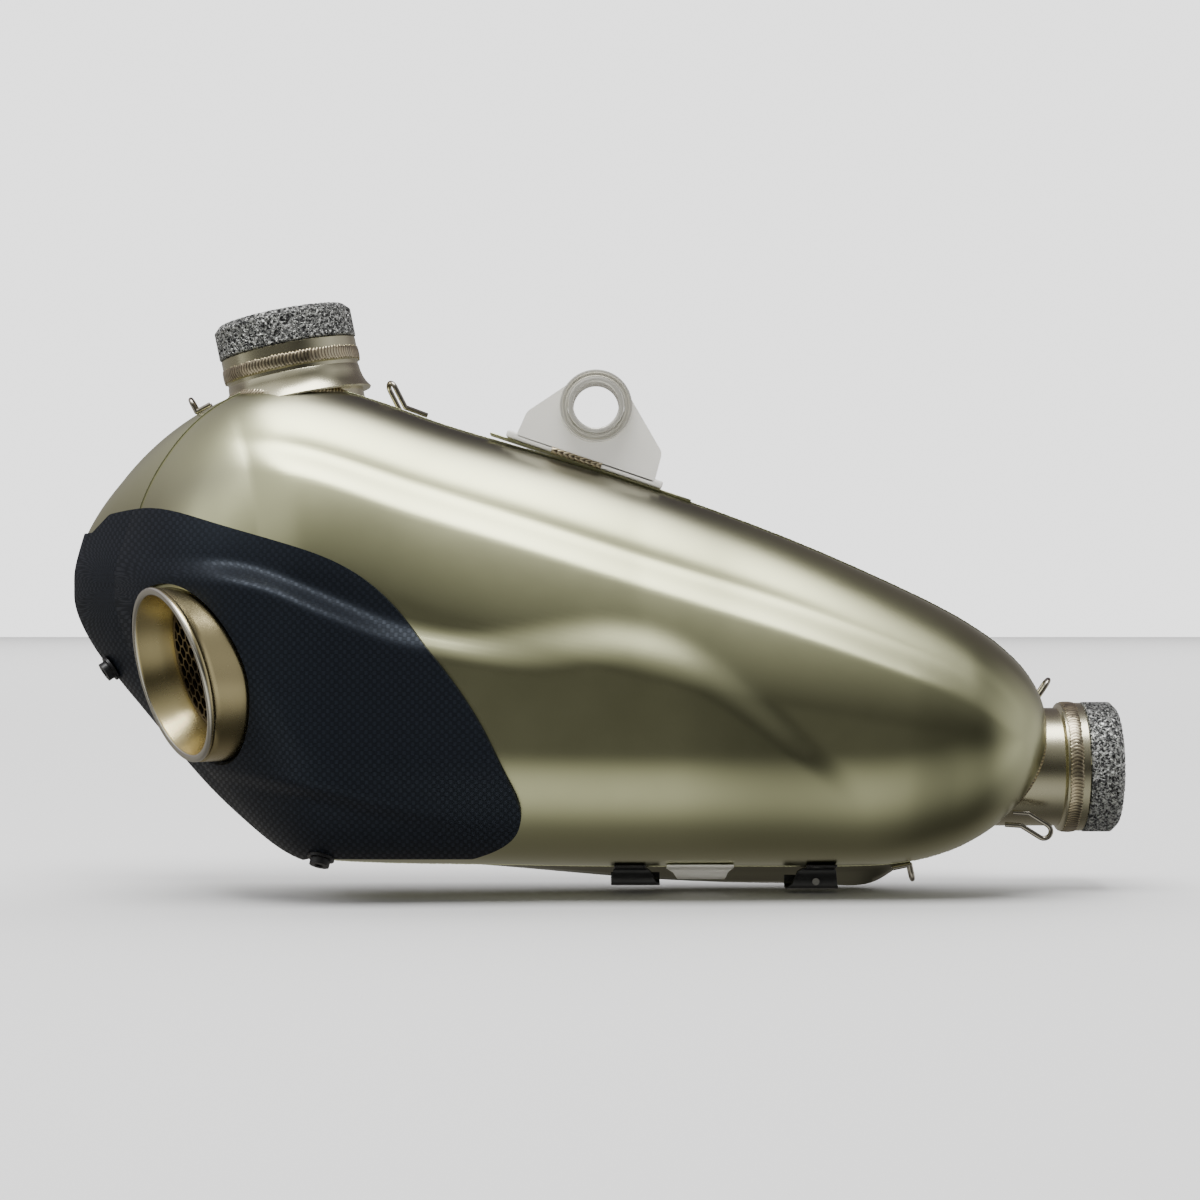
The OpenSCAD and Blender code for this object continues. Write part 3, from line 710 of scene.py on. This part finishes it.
TURNED = metal("turned_titanium", (0.82, 0.80, 0.72), (0.76, 0.74, 0.66), 0.26, 1300, 0.03, 40,
               metallic=0.62)
RIVET = metal("rivet_metal", (0.78, 0.77, 0.74), (0.70, 0.69, 0.66), 0.22, 900, 0.03, 60)
BLACK = black_paint("satin_black", 0.38)
MESH = wire_mesh()
FIBRE = packing_fibre()

# --- body shells -------------------------------------------------------------------------------
body_stations = np.linspace(0, 1, 211)
# stretch of each axis, in its own place, over which a round hole is cut through the shells
TOP_SPAN, FRONT_SPAN, OUTLET_SPAN = (-75, -1), (-90, -1), (-60, 40)
neck_holes = [
    bore_field(AT_TOP, 33.5, *TOP_SPAN), bore_field(AT_FRONT, 30.3, *FRONT_SPAN),
    bore_field(AT_OUTLET, 42.7, *OUTLET_SPAN),
]


def painted_shade_share(node, points):
    """Share of painted shade and painted dark reflection: along the rolled top edge and as a patch
    by the cap outside, under the belly inside.
    """
    x, z = points[:, 0], points[:, 2]
    if node == "rear_shell":
        # painted shade: the inner half darkens towards its bottom, under the belly
        return 0.62 * ease((-205 - z) / 22)
    # painted dark reflection: a band along the top edge, fading in from the rear tip and weaker
    # towards the front
    height = at(np.clip(x, REAR_X, FRONT_X), TOP) - z
    shade = (1 - ease((height - 3) / 24)) * ease((x + 225) / 90) \
        * (0.68 - 0.42 * ease((x - 20) / 110))
    # painted dark reflection: a soft patch near the cap
    across, down = x + 190, z + 38
    run, drop = 0.94 * across + 0.34 * down, 0.94 * down - 0.34 * across
    return shade + 0.32 * np.exp(-(run / 26) ** 2 - (drop / 11) ** 2)


def shell(name, w_values, node):
    params, faces = trimmed(body_stations, w_values, lambda p: body_point(p, 0), neck_holes)
    points, closed = thick_sheet(body_point(params, 0), body_point(params, -SHELL_WALL), faces)
    obj = make(name, points, closed, TITANIUM, sharp=45)
    # painted shade and painted dark reflection, kept on both skins' points for the titanium
    # material
    shade = painted_shade_share(node, points[:len(params)])
    obj.data.attributes.new("shoulder", "FLOAT", "POINT").data.foreach_set(
        "value", np.concatenate([shade, shade]))
    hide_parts(node)


shell("outer_shell", np.linspace(0, 1, 121), "front_shell")
shell("inner_shell", np.linspace(1, 2, 71), "rear_shell")

bead("shell_seam_weld", np.insert(EDGE[:-1], 1, 0, axis=1), TITANIUM, 0.7, 0.08, 2.2)


# --- end cap -----------------------------------------------------------------------------------
def cap_outline():
    """Edge of the cap with its corners eased."""
    curve = spline(CAP_EDGE[2:16], steps=6)
    return list(CAP_EDGE[:2]) + [tuple(p) for p in curve] + list(CAP_EDGE[16:])


CAP_REACH = 0.485   # share of the body's stations that the cap's outline stays within
cap_s = np.linspace(0, CAP_REACH, 190)
cap_w = np.concatenate([np.linspace(0, 1, 150), np.linspace(1, 2, 80)[1:]])


def cap_skin(p):
    return body_point(p, CAP_GAP + CAP_WALL, 1.0)


cap_params, cap_faces = trimmed(cap_s, cap_w, cap_skin, [
    outline_field(cap_outline(), [0, 2]), outline_field(CAP_PLAN, [0, 1]),
    bore_field(AT_OUTLET, TIP_RADIUS + 1.5, -80, 40),
])
cap_points, cap_closed = thick_sheet(
    cap_skin(cap_params), body_point(cap_params, CAP_GAP, 1.0), cap_faces)
cap = make("carbon_cap", cap_points, cap_closed, CARBON, sharp=40)
grid = cap_skin(np.array([(s, w) for s in cap_s for w in cap_w]))
grid = grid.reshape(len(cap_s), len(cap_w), 3)
run = np.concatenate([np.zeros((1, len(cap_w))), np.cumsum(
    np.linalg.norm(np.diff(grid[:, :, :2], axis=0), axis=2), axis=0)])
run -= run[-1]
si = np.interp(cap_params[:, 0], cap_s, np.arange(len(cap_s)))
wi = np.interp(cap_params[:, 1], cap_w, np.arange(len(cap_w)))
s0, w0 = np.minimum(si.astype(int), len(cap_s) - 2), np.minimum(wi.astype(int), len(cap_w) - 2)
fs, fw = si - s0, wi - w0
along = (
    run[s0, w0] * (1 - fs) * (1 - fw) + run[s0 + 1, w0] * fs * (1 - fw)
    + run[s0, w0 + 1] * (1 - fs) * fw + run[s0 + 1, w0 + 1] * fs * fw
)
weave = np.stack([along, cap_points[:len(along), 2]], axis=1)
weave = np.vstack([weave, weave])
layer = cap.data.uv_layers.new(name="weave")
loop_points = np.empty(len(cap.data.loops), int)
cap.data.loops.foreach_get("vertex_index", loop_points)
layer.data.foreach_set("uv", weave[loop_points].ravel())
bevel(cap, 0.5, 2)
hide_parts("end_cap")

# --- tail tip ----------------------------------------------------------------------------------
segments = 128
angles = np.linspace(0, 2 * np.pi, segments, endpoint=False)
circle = np.stack([np.cos(angles), np.sin(angles), np.zeros(segments)], axis=1)
rim_normal = np.array(AT_RIM)[:3, 2]
rim_centre = np.array(AT_RIM)[:3, 3]
axis_out = np.array(AT_OUTLET)[:3, 2]


def sleeve_ring(radius, below):
    """Ring where the straight sleeve meets a plane a little below the rim."""
    start = placed(AT_OUTLET, circle * radius)
    reach = ((rim_centre - rim_normal * below - start) @ rim_normal) / (axis_out @ rim_normal)
    return start + reach[:, None] * axis_out


def rim_ring(radius, height):
    return placed(AT_RIM, circle * radius + (0, 0, height))


SLEEVE_OUTER, SLEEVE_INNER, SLEEVE_START = 42.5, 41.1, -38
# radius and height of each ring: up the outside, over the lip, down the funnel and back under it
RIM_PROFILE = [
    (43.0, -2.6), (43.7, -2.1), (44.0, -1.2), (44.0, -0.3), (43.8, 0.4), (43.3, 0.85),
    (42.6, 1.0), (41.4, 0.95), (40.7, 0.7), (40.25, 0.25), (39.95, -0.6), (39.2, -2.6),
    (37.9, -6), (36.5, -9.5), (35.4, -12.4), (34.6, -15), (33.9, -17), (33.6, -21),
    (34.9, -21), (36.4, -15), (39.6, -6), (41.0, -3.2),
]
tip_rings = [
    placed(AT_OUTLET, circle * SLEEVE_OUTER + (0, 0, SLEEVE_START)),
    placed(AT_OUTLET, circle * SLEEVE_OUTER + (0, 0, -26)),
    sleeve_ring(SLEEVE_OUTER, 6), sleeve_ring(SLEEVE_OUTER, 3.2),
    *[rim_ring(radius, height) for radius, height in RIM_PROFILE],
    placed(AT_OUTLET, circle * SLEEVE_INNER + (0, 0, SLEEVE_START)),
]
tip_faces = [
    (k * segments + i, k * segments + (i + 1) % segments,
     ((k + 1) % len(tip_rings)) * segments + (i + 1) % segments,
     ((k + 1) % len(tip_rings)) * segments + i)
    for k in range(len(tip_rings)) for i in range(segments)
]
tip = make("tail_tip_funnel", np.vstack(tip_rings), [f[::-1] for f in tip_faces], GOLD, sharp=50)
tip.data.materials.append(LIP)
for index, face in enumerate(tip.data.polygons):
    if 7 <= index // segments <= 12:
        face.material_index = 1
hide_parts("tail_tip")

# --- inlets ------------------------------------------------------------------------------------
def inlet(prefix, matrix, neck_r, collar_r, seat_r, bore_r, seal_r, weld_at, seal_body):
    """Collar, spigot, weld bead and knitted seal ring of one inlet."""
    collar = revolve(prefix + "_collar", [
        (bore_r, -13), (neck_r - 0.6, -13), (neck_r - 0.2, -12.6), (collar_r - 0.5, -12),
        (collar_r, -11.5), (collar_r, -0.6), (collar_r - 0.5, -0.05), (seat_r, 0),
        (seat_r, 14.6), (seat_r - 0.4, 15.3), (seat_r - 0.9, 15.5), (bore_r + 0.3, 15.5),
        (bore_r, 15.1)], matrix, NECK)
    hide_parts(prefix + "_spigot")
    ring = placed(matrix, circle * (collar_r + 0.1) + (0, 0, weld_at))
    centre = placed(matrix, [(0, 0, weld_at)])[0]
    bead(prefix + "_collar_weld", ring, WELD, 3.2, 0.5, 1.8,
                 up=lambda p: p - centre)
    seal = seal_mesh_ring(prefix + "_mesh_ring", matrix, seal_r, seat_r + 0.1, seal_body)
    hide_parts(prefix + "_seal")


def seal_mesh_ring(name, matrix, outer, inner, body):
    """Ring whose faces are dented and ridged like pressed knitted wire."""
    profile = [(inner, 0.8), (inner + 0.6, 0.2)]
    profile += [(inner + 0.6 + (outer - inner - 1.2) * k / 5, 0.2) for k in range(1, 6)]
    profile += [(outer, 0.8)] + [(outer, 0.8 + 13.4 * k / 18) for k in range(1, 19)]
    profile += [(outer - 0.5 * k, 14.2 + 0.5 * k) for k in range(1, 7)]
    profile += [(outer - 3 - (outer - 3.6 - inner) * k / 5, 17.2) for k in range(1, 6)]
    profile += [(inner, 16.6)]
    prof = np.array(profile)
    count = 300
    a = np.linspace(0, 2 * np.pi, count, endpoint=False)
    rng = np.random.default_rng(7)
    dent = np.zeros((count, len(prof)))
    for _ in range(46):
        fa, fh, ph = rng.integers(20, 110), rng.uniform(-2.4, 2.4), rng.uniform(0, 6.28)
        dent += np.sin(fa * a[:, None] + fh * (prof[:, 1] + prof[:, 0])[None, :] + ph)
    dent *= 0.075
    outside = (prof[:, 0] > inner + 0.7)[None, :]
    dent = np.where(outside, np.minimum(dent, 0.0) - 0.02, 0.0)
    side = np.clip((prof[:, 0] - outer + 3.2) / 3, 0, 1)[None, :]
    r = prof[None, :, 0] + dent * side
    h = prof[None, :, 1] + np.where(prof[:, 1] > 15, 1, 0)[None, :] * dent * (1 - side)
    pts = np.stack([np.cos(a)[:, None] * r, np.sin(a)[:, None] * r, h], axis=2)
    faces = closed_grid(count, len(prof))
    return make(name, placed(matrix, pts.reshape(-1, 3)), faces, MESH, body, sharp=60)


inlet("top_inlet", AT_TOP, 33.4, 34.4, 29.4, 27.6, 35.0, -8.6, "top_ring")
inlet("front_inlet", AT_FRONT, 30.0, 32.6, 27.4, 25.6, 33.0, -7.2, "front_ring")

flare = revolve("top_inlet_flare", [
    (33.3, -14), (33.6, -14.5), (33.9, -17.5), (34.6, -20.5), (35.9, -23.5), (37.6, -26),
    (37.2, -26.8), (33.3, -26.8)], AT_TOP, NECK)


def foot_weld(name, matrix, radius, low, high):
    """Weld bead where a neck enters the body: found on the body's own surface."""
    params, faces = trimmed(np.linspace(0, 1, 121), np.linspace(0, 2, 121),
                            lambda p: body_point(p, 0.3), [bore_field(matrix, radius, low, high)])
    surface = body_point(params, 0.3)
    best = None
    for loop in loops_of(faces):
        ring = surface[loop]
        r, _ = axis_distance(ring, matrix)
        if np.abs(r - radius).max() < 0.5 and (best is None or len(loop) > len(best)):
            best = ring
    if best is None:
        return
    axis = np.array(matrix)[:3, 2]
    centre = np.array(matrix)[:3, 3]

    def outward(p):
        away = p - centre - ((p - centre) @ axis)[:, None] * axis
        return away / np.linalg.norm(away, axis=1)[:, None] + axis
    bead(name, best, WELD, 2.4, 0.8, 1.8, up=outward)


foot_weld("top_inlet_foot_weld", AT_TOP, 33.9, *TOP_SPAN)
foot_weld("front_inlet_foot_weld", AT_FRONT, 30.5, *FRONT_SPAN)

# --- hanger ------------------------------------------------------------------------------------
def plate(name, outline, y_front, y_back, hole, material):
    """Flat plate drawn on x and z, with a round hole at the origin."""
    outer = soften(outline, 2.2)
    bm = bmesh.new()
    loops = [
        [bm.verts.new((p[0] * MM, y_front * MM, p[1] * MM)) for p in outer],
        [bm.verts.new((math.cos(a) * hole * MM, y_front * MM, math.sin(a) * hole * MM))
         for a in angles[::2]],
    ]
    edges = [bm.edges.new((l[i], l[(i + 1) % len(l)])) for l in loops for i in range(len(l))]
    bmesh.ops.triangle_fill(bm, use_beauty=True, edges=edges)
    made = bmesh.ops.extrude_face_region(bm, geom=bm.faces[:])
    moved = [v for v in made["geom"] if isinstance(v, bmesh.types.BMVert)]
    bmesh.ops.translate(bm, verts=moved, vec=(0, (y_back - y_front) * MM, 0))
    bmesh.ops.recalc_face_normals(bm, faces=bm.faces)
    mesh = bpy.data.meshes.new(name)
    bm.to_mesh(mesh)
    bm.free()
    mesh.polygons.foreach_set("use_smooth", [True] * len(mesh.polygons))
    mesh.set_sharp_from_angle(angle=math.radians(30))
    obj = bpy.data.objects.new(name, mesh)
    bpy.context.scene.collection.objects.link(obj)
    mesh.materials.append(material)
    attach(obj, "muffler")
    return bevel(obj, 0.5, 3)


bracket = plate("hanger_plate", [
    (-40, -14.5), (-37.5, -9.5), (-34.5, -2.5), (-16, 9.8), (-8, 15.6), (-3.5, 17.4), (3, 17.4),
    (7, 15.4), (13.6, 10.6), (18, 3), (33, -23), (30, -34.5), (29, -38)], -4, -1, 14.2, PALE)
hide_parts("hanger_bracket")
ON_FOOT = Matrix.Translation((-44, -4, -11.5)) @ turn("Y", 18.6)


def block(name, matrix, low, high, material, edge):
    """Bent-up sheet part: a rounded slab."""
    bm = bmesh.new()
    bmesh.ops.create_cube(bm, size=1)
    for v in bm.verts:
        v.co = Vector([low[k] + (v.co[k] + 0.5) * (high[k] - low[k]) for k in range(3)])
    bmesh.ops.subdivide_edges(bm, edges=[e for e in bm.edges if abs(
        e.verts[0].co.x - e.verts[1].co.x) > 1], cuts=12, use_grid_fill=True)
    bmesh.ops.bevel(bm, geom=[e for e in bm.edges if len(e.link_faces) == 2
                              and e.calc_face_angle() > 1], offset=edge, segments=3,
                    affect="EDGES", profile=0.5)
    points = placed(matrix, [v.co for v in bm.verts])
    faces = [[v.index for v in f.verts] for f in bm.faces]
    bm.free()
    return make(name, points, faces, material, sharp=50)


foot = block("hanger_foot", ON_FOOT, (0, 0, -3.4), (82, 19, 0), PALE, 1.0)
pad = block("hanger_pad_plate", ON_FOOT, (-8, 3, -5), (98, 19, -3.8), TITANIUM, 0.4)
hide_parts("hanger_pad")
ROLL = turn("X", 90)
boss = revolve("hanger_boss_ring", [
    (14.1, 4.3), (18, 4.2), (18, 8.7), (17.8, 9.15), (17.4, 9.3), (16.9, 9.3), (16.55, 9.1),
    (16.3, 8.5), (15.4, 8.4), (15.1, 9.0), (14.8, 9.3), (14.1, 9.3)], ROLL, TURNED)
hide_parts("hanger_boss")
sleeve = revolve("hanger_bush", [
    (11.35, -13.6), (11.8, -14), (13.5, -14), (14, -13.5), (14, 13.4), (13.6, 13.9), (13.1, 14),
    (12.0, 14), (11.5, 13.7), (11.25, 13.1)], ROLL, TURNED)
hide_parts("hanger_sleeve")
foot_line = placed(ON_FOOT, [(x, -0.1, -2.6) for x in np.linspace(24, 50, 20)])
bead("hanger_foot_weld", foot_line, WELD, 1.5, 1.1, 2.8, closed=False)

# --- clips -------------------------------------------------------------------------------------
SEAM_Z, STRIP_THICK = -229.2, 1.1   # underside of the body at the clips, and their sheet


def clip(name, top, low, drop, material, node):
    """Strip bent into a hook under the seam. top and low are its ends in x at either end."""
    bottom = SEAM_Z - drop
    lip = min(bottom + 5, -233.4)
    path = np.array([
        (-18, -227), (-12, -228.3), (-6, SEAM_Z), (-3.6, -230), (-2.6, -231.6), (-2.6, bottom + 2),
        (-1.6, bottom + 0.5), (0, bottom), (5, bottom), (6.4, bottom + 0.4), (7.2, bottom + 1.4),
        (7.4, lip)])
    fine = spline(path, steps=3)
    tangent = np.gradient(fine, axis=0)
    tangent /= np.linalg.norm(tangent, axis=1)[:, None]
    side = np.stack([tangent[:, 1], -tangent[:, 0]], axis=1)
    outer = fine + side * STRIP_THICK
    t = np.linspace(0, 1, len(fine))
    blend = ease((t - 0.15) / 0.5)
    cols = 13
    pts = []
    for leaf in (fine, outer):
        for p, e in zip(leaf, blend):
            start, end = (top[i] + (low[i] - top[i]) * e for i in (0, 1))
            for k in range(cols):
                x = start + (end - start) * k / (cols - 1)
                pts.append((x, p[0], p[1]))
    m, n = len(fine), len(fine) * cols
    faces = []
    for i in range(m - 1):
        for k in range(cols - 1):
            a = i * cols + k
            faces.append((a, a + 1, a + cols + 1, a + cols))
            faces.append((a + n, a + n + cols, a + n + cols + 1, a + n + 1))
    for i in range(m - 1):
        for k in (0, cols - 1):
            a = i * cols + k
            quad = (a, a + cols, a + n + cols, a + n)
            faces.append(quad if k == 0 else quad[::-1])
    for i in (0, m - 1):
        for k in range(cols - 1):
            a = i * cols + k
            quad = (a, a + n, a + n + 1, a + 1)
            faces.append(quad if i == 0 else quad[::-1])
    obj = make(name, pts, faces, material, sharp=45)
    bevel(obj, 0.35, 2)
    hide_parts(node)


clip("rear_shield_clip", (9, 24.5), (7.5, 32), 8.8, BLACK, "rear_cover_clip")
clip("front_shield_clip", (104, 119), (94.5, 121), 10.6, BLACK, "front_cover_clip")
clip("saddle_strap", (35, 68), (41, 64), 5.8, PALE, "saddle_clip")

# --- CAD nodes that stay, with their own finishes ---------------------------------------------
FINISHES = {
    "outlet_grille": GRILLE, "outlet_tube": STEEL, "outlet_core": STEEL, "top_core_tube": STEEL,
    "front_core_tube": STEEL, "top_core_wool": FIBRE, "front_core_wool": FIBRE,
    "front_baffle": STEEL, "middle_baffle": STEEL, "rear_baffle": STEEL,
    "top_inlet_neck": NECK, "front_inlet_neck": NECK, "top_inlet_front_hook": WIRE,
    "top_inlet_rear_hook": WIRE, "front_inlet_upper_hook": WIRE, "front_inlet_lower_hook": WIRE,
    "belly_hook": WIRE, "clip_rivet": RIVET, "cap_screws": BLACK, "cap_washers": BLACK,
    "cap_weld_nuts": STEEL,
}
for node, material in FINISHES.items():
    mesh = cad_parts[node].data
    mesh.materials.clear()
    mesh.materials.append(material)

# --- stage ---------------------------------------------------------------------------------------
FLOOR_HALF, FLOOR_GAP = 9, 0.0005
PANEL_AT, PANEL_SIZE, PANEL_POWER = (-0.22, -0.70, 2.3), (2.2, 1.38), 95
WASH_AT, WASH_SIZE, WASH_POWER = (0, 4.4, 3), (16, 8), 1100
BACKDROP = (2.3, 2.3, 2.3, 1)
CAMERA_AT, CAMERA_LENS = (0.002, -1.3, -0.0965), 78

floor_mesh = bpy.data.meshes.new("floor")
floor_z = cad_low.z - FLOOR_GAP
floor_mesh.from_pydata(
    [(x * FLOOR_HALF, y * FLOOR_HALF, floor_z) for x, y in ((-1, -1), (1, -1), (1, 1), (-1, 1))],
    [], [(0, 1, 2, 3)])
floor = bpy.data.objects.new("floor", floor_mesh)
bpy.context.scene.collection.objects.link(floor)
floor_nodes = Nodes("pale_floor")
floor_nodes.set(Base_Color=(0.70, 0.70, 0.70), Roughness=0.9, Specular_IOR_Level=0.1)
floor_mesh.materials.append(floor_nodes.material)
# the metal reflects the surroundings' own lower half, which fades gently to the horizon
floor.visible_glossy = False


def area_light(name, place, size, power):
    """Panel that shines straight down."""
    light = bpy.data.lights.new(name, "AREA")
    light.shape = "RECTANGLE"
    light.size, light.size_y = size
    light.energy = power
    obj = bpy.data.objects.new(name, light)
    bpy.context.scene.collection.objects.link(obj)
    obj.location = place
    obj.rotation_mode = "QUATERNION"
    obj.rotation_quaternion = Vector((0, 0, -1)).to_track_quat("-Z", "Y")
    return obj


# one large panel overhead, a little in front of the object and more to its left
area_light("overhead_panel", PANEL_AT, PANEL_SIZE, PANEL_POWER)

# a wash that lights only the floor behind the object, so that it stays pale into the distance
wash = area_light("floor_wash", WASH_AT, WASH_SIZE, WASH_POWER)
wash_on = bpy.data.collections.new("floor_only")
wash_on.objects.link(floor)
wash.light_linking.receiver_collection = wash_on

world = bpy.data.worlds.new("studio")
bpy.context.scene.world = world
world.use_nodes = True
tree = world.node_tree
background = tree.nodes["Background"]
coords = tree.nodes.new("ShaderNodeTexCoord")
parts = tree.nodes.new("ShaderNodeSeparateXYZ")
tree.links.new(coords.outputs["Generated"], parts.inputs[0])


def world_math(operation, a, b=0.0):
    node = tree.nodes.new("ShaderNodeMath")
    node.operation = operation
    for value, socket in ((a, node.inputs[0]), (b, node.inputs[1])):
        if isinstance(value, (int, float)):
            socket.default_value = value
        else:
            tree.links.new(value, socket)
    return node.outputs[0]


# how far round from the back horizon: 0.25 is straight down, 0.5 the front, 0.75 straight up
tilt = world_math("ARCTAN2", parts.outputs["Z"], world_math("MULTIPLY", parts.outputs["Y"], -1.0))
share = world_math("ADD", world_math("DIVIDE", tilt, 2 * math.pi), 0.5)
ramp = tree.nodes.new("ShaderNodeValToRGB")
ramp.color_ramp.interpolation = "B_SPLINE"
STOPS = [
    (0.06, (0.30, 0.29, 0.27)), (0.14, (0.16, 0.15, 0.14)), (0.28, (0.15, 0.145, 0.13)),
    (0.335, (0.75, 0.75, 0.70)), (0.375, (1.05, 1.05, 0.98)), (0.43, (0.80, 0.80, 0.74)),
    (0.455, (0.36, 0.36, 0.33)), (0.475, (0.12, 0.117, 0.105)), (0.495, (0.040, 0.038, 0.034)),
    (0.515, (0.060, 0.058, 0.052)), (0.55, (0.20, 0.197, 0.18)), (0.585, (0.37, 0.37, 0.34)),
    (0.615, (0.50, 0.50, 0.47)), (0.65, (0.48, 0.48, 0.46)), (0.70, (0.88, 0.88, 0.86)),
    (0.728, (0.84, 0.84, 0.82)), (0.755, (0.14, 0.118, 0.138)), (0.93, (0.11, 0.095, 0.11)),
    (1.00, (0.45, 0.43, 0.42)),
]
while len(ramp.color_ramp.elements) < len(STOPS):
    ramp.color_ramp.elements.new(0.5)
for element, (place, colour) in zip(ramp.color_ramp.elements, STOPS):
    element.position = place
    element.color = (*colour, 1)
tree.links.new(share, ramp.inputs[0])
rays = tree.nodes.new("ShaderNodeLightPath")
choose = tree.nodes.new("ShaderNodeMix")
choose.data_type = "RGBA"
tree.links.new(rays.outputs["Is Camera Ray"], choose.inputs[0])
across, depth, height = (parts.outputs[axis] for axis in "XYZ")


def held(value, least, most):
    return world_math("MINIMUM", world_math("MAXIMUM", value, least), most)


# the room darkens to the right, but not behind the object
side_fall = world_math("MAXIMUM", world_math("SUBTRACT", 1.06, world_math(
    "MULTIPLY", across, 3.0)), 0.3)
side_fall = held(side_fall, world_math("MULTIPLY", depth, 1.8), 1.0)
shaded = tree.nodes.new("ShaderNodeMix")
shaded.data_type, shaded.blend_type = "RGBA", "MULTIPLY"
shaded.inputs[0].default_value = 1.0
tree.links.new(ramp.outputs[0], shaded.inputs[6])
tree.links.new(side_fall, shaded.inputs[7])
# a lighter wall on the left, above the floor
left_wall = held(world_math("MULTIPLY", world_math("SUBTRACT", -0.22, across), 1.3), 0.0, 0.42)
left_wall = world_math("MULTIPLY", left_wall, held(world_math(
    "MULTIPLY", world_math("SUBTRACT", height, 0.15), 3.0), 0.0, 1.0))
# and one at the far right, which shows only in the turned edges
right_wall = held(world_math("MULTIPLY", world_math("SUBTRACT", across, 0.60), 1.6), 0.0, 0.55)
walled = tree.nodes.new("ShaderNodeMix")
walled.data_type, walled.blend_type = "RGBA", "ADD"
walled.inputs[0].default_value = 1.0
tree.links.new(shaded.outputs[2], walled.inputs[6])
tree.links.new(world_math("ADD", left_wall, right_wall), walled.inputs[7])
tree.links.new(walled.outputs[2], choose.inputs[6])
choose.inputs[7].default_value = BACKDROP
tree.links.new(choose.outputs[2], background.inputs[0])

camera = bpy.data.cameras.new("camera")
camera.lens, camera.sensor_width = CAMERA_LENS, 36
camera.clip_start, camera.clip_end = 0.05, 40
eye = bpy.data.objects.new("camera", camera)
bpy.context.scene.collection.objects.link(eye)
eye.location = CAMERA_AT
eye.rotation_euler = (math.radians(90), 0, 0)
bpy.context.scene.camera = eye
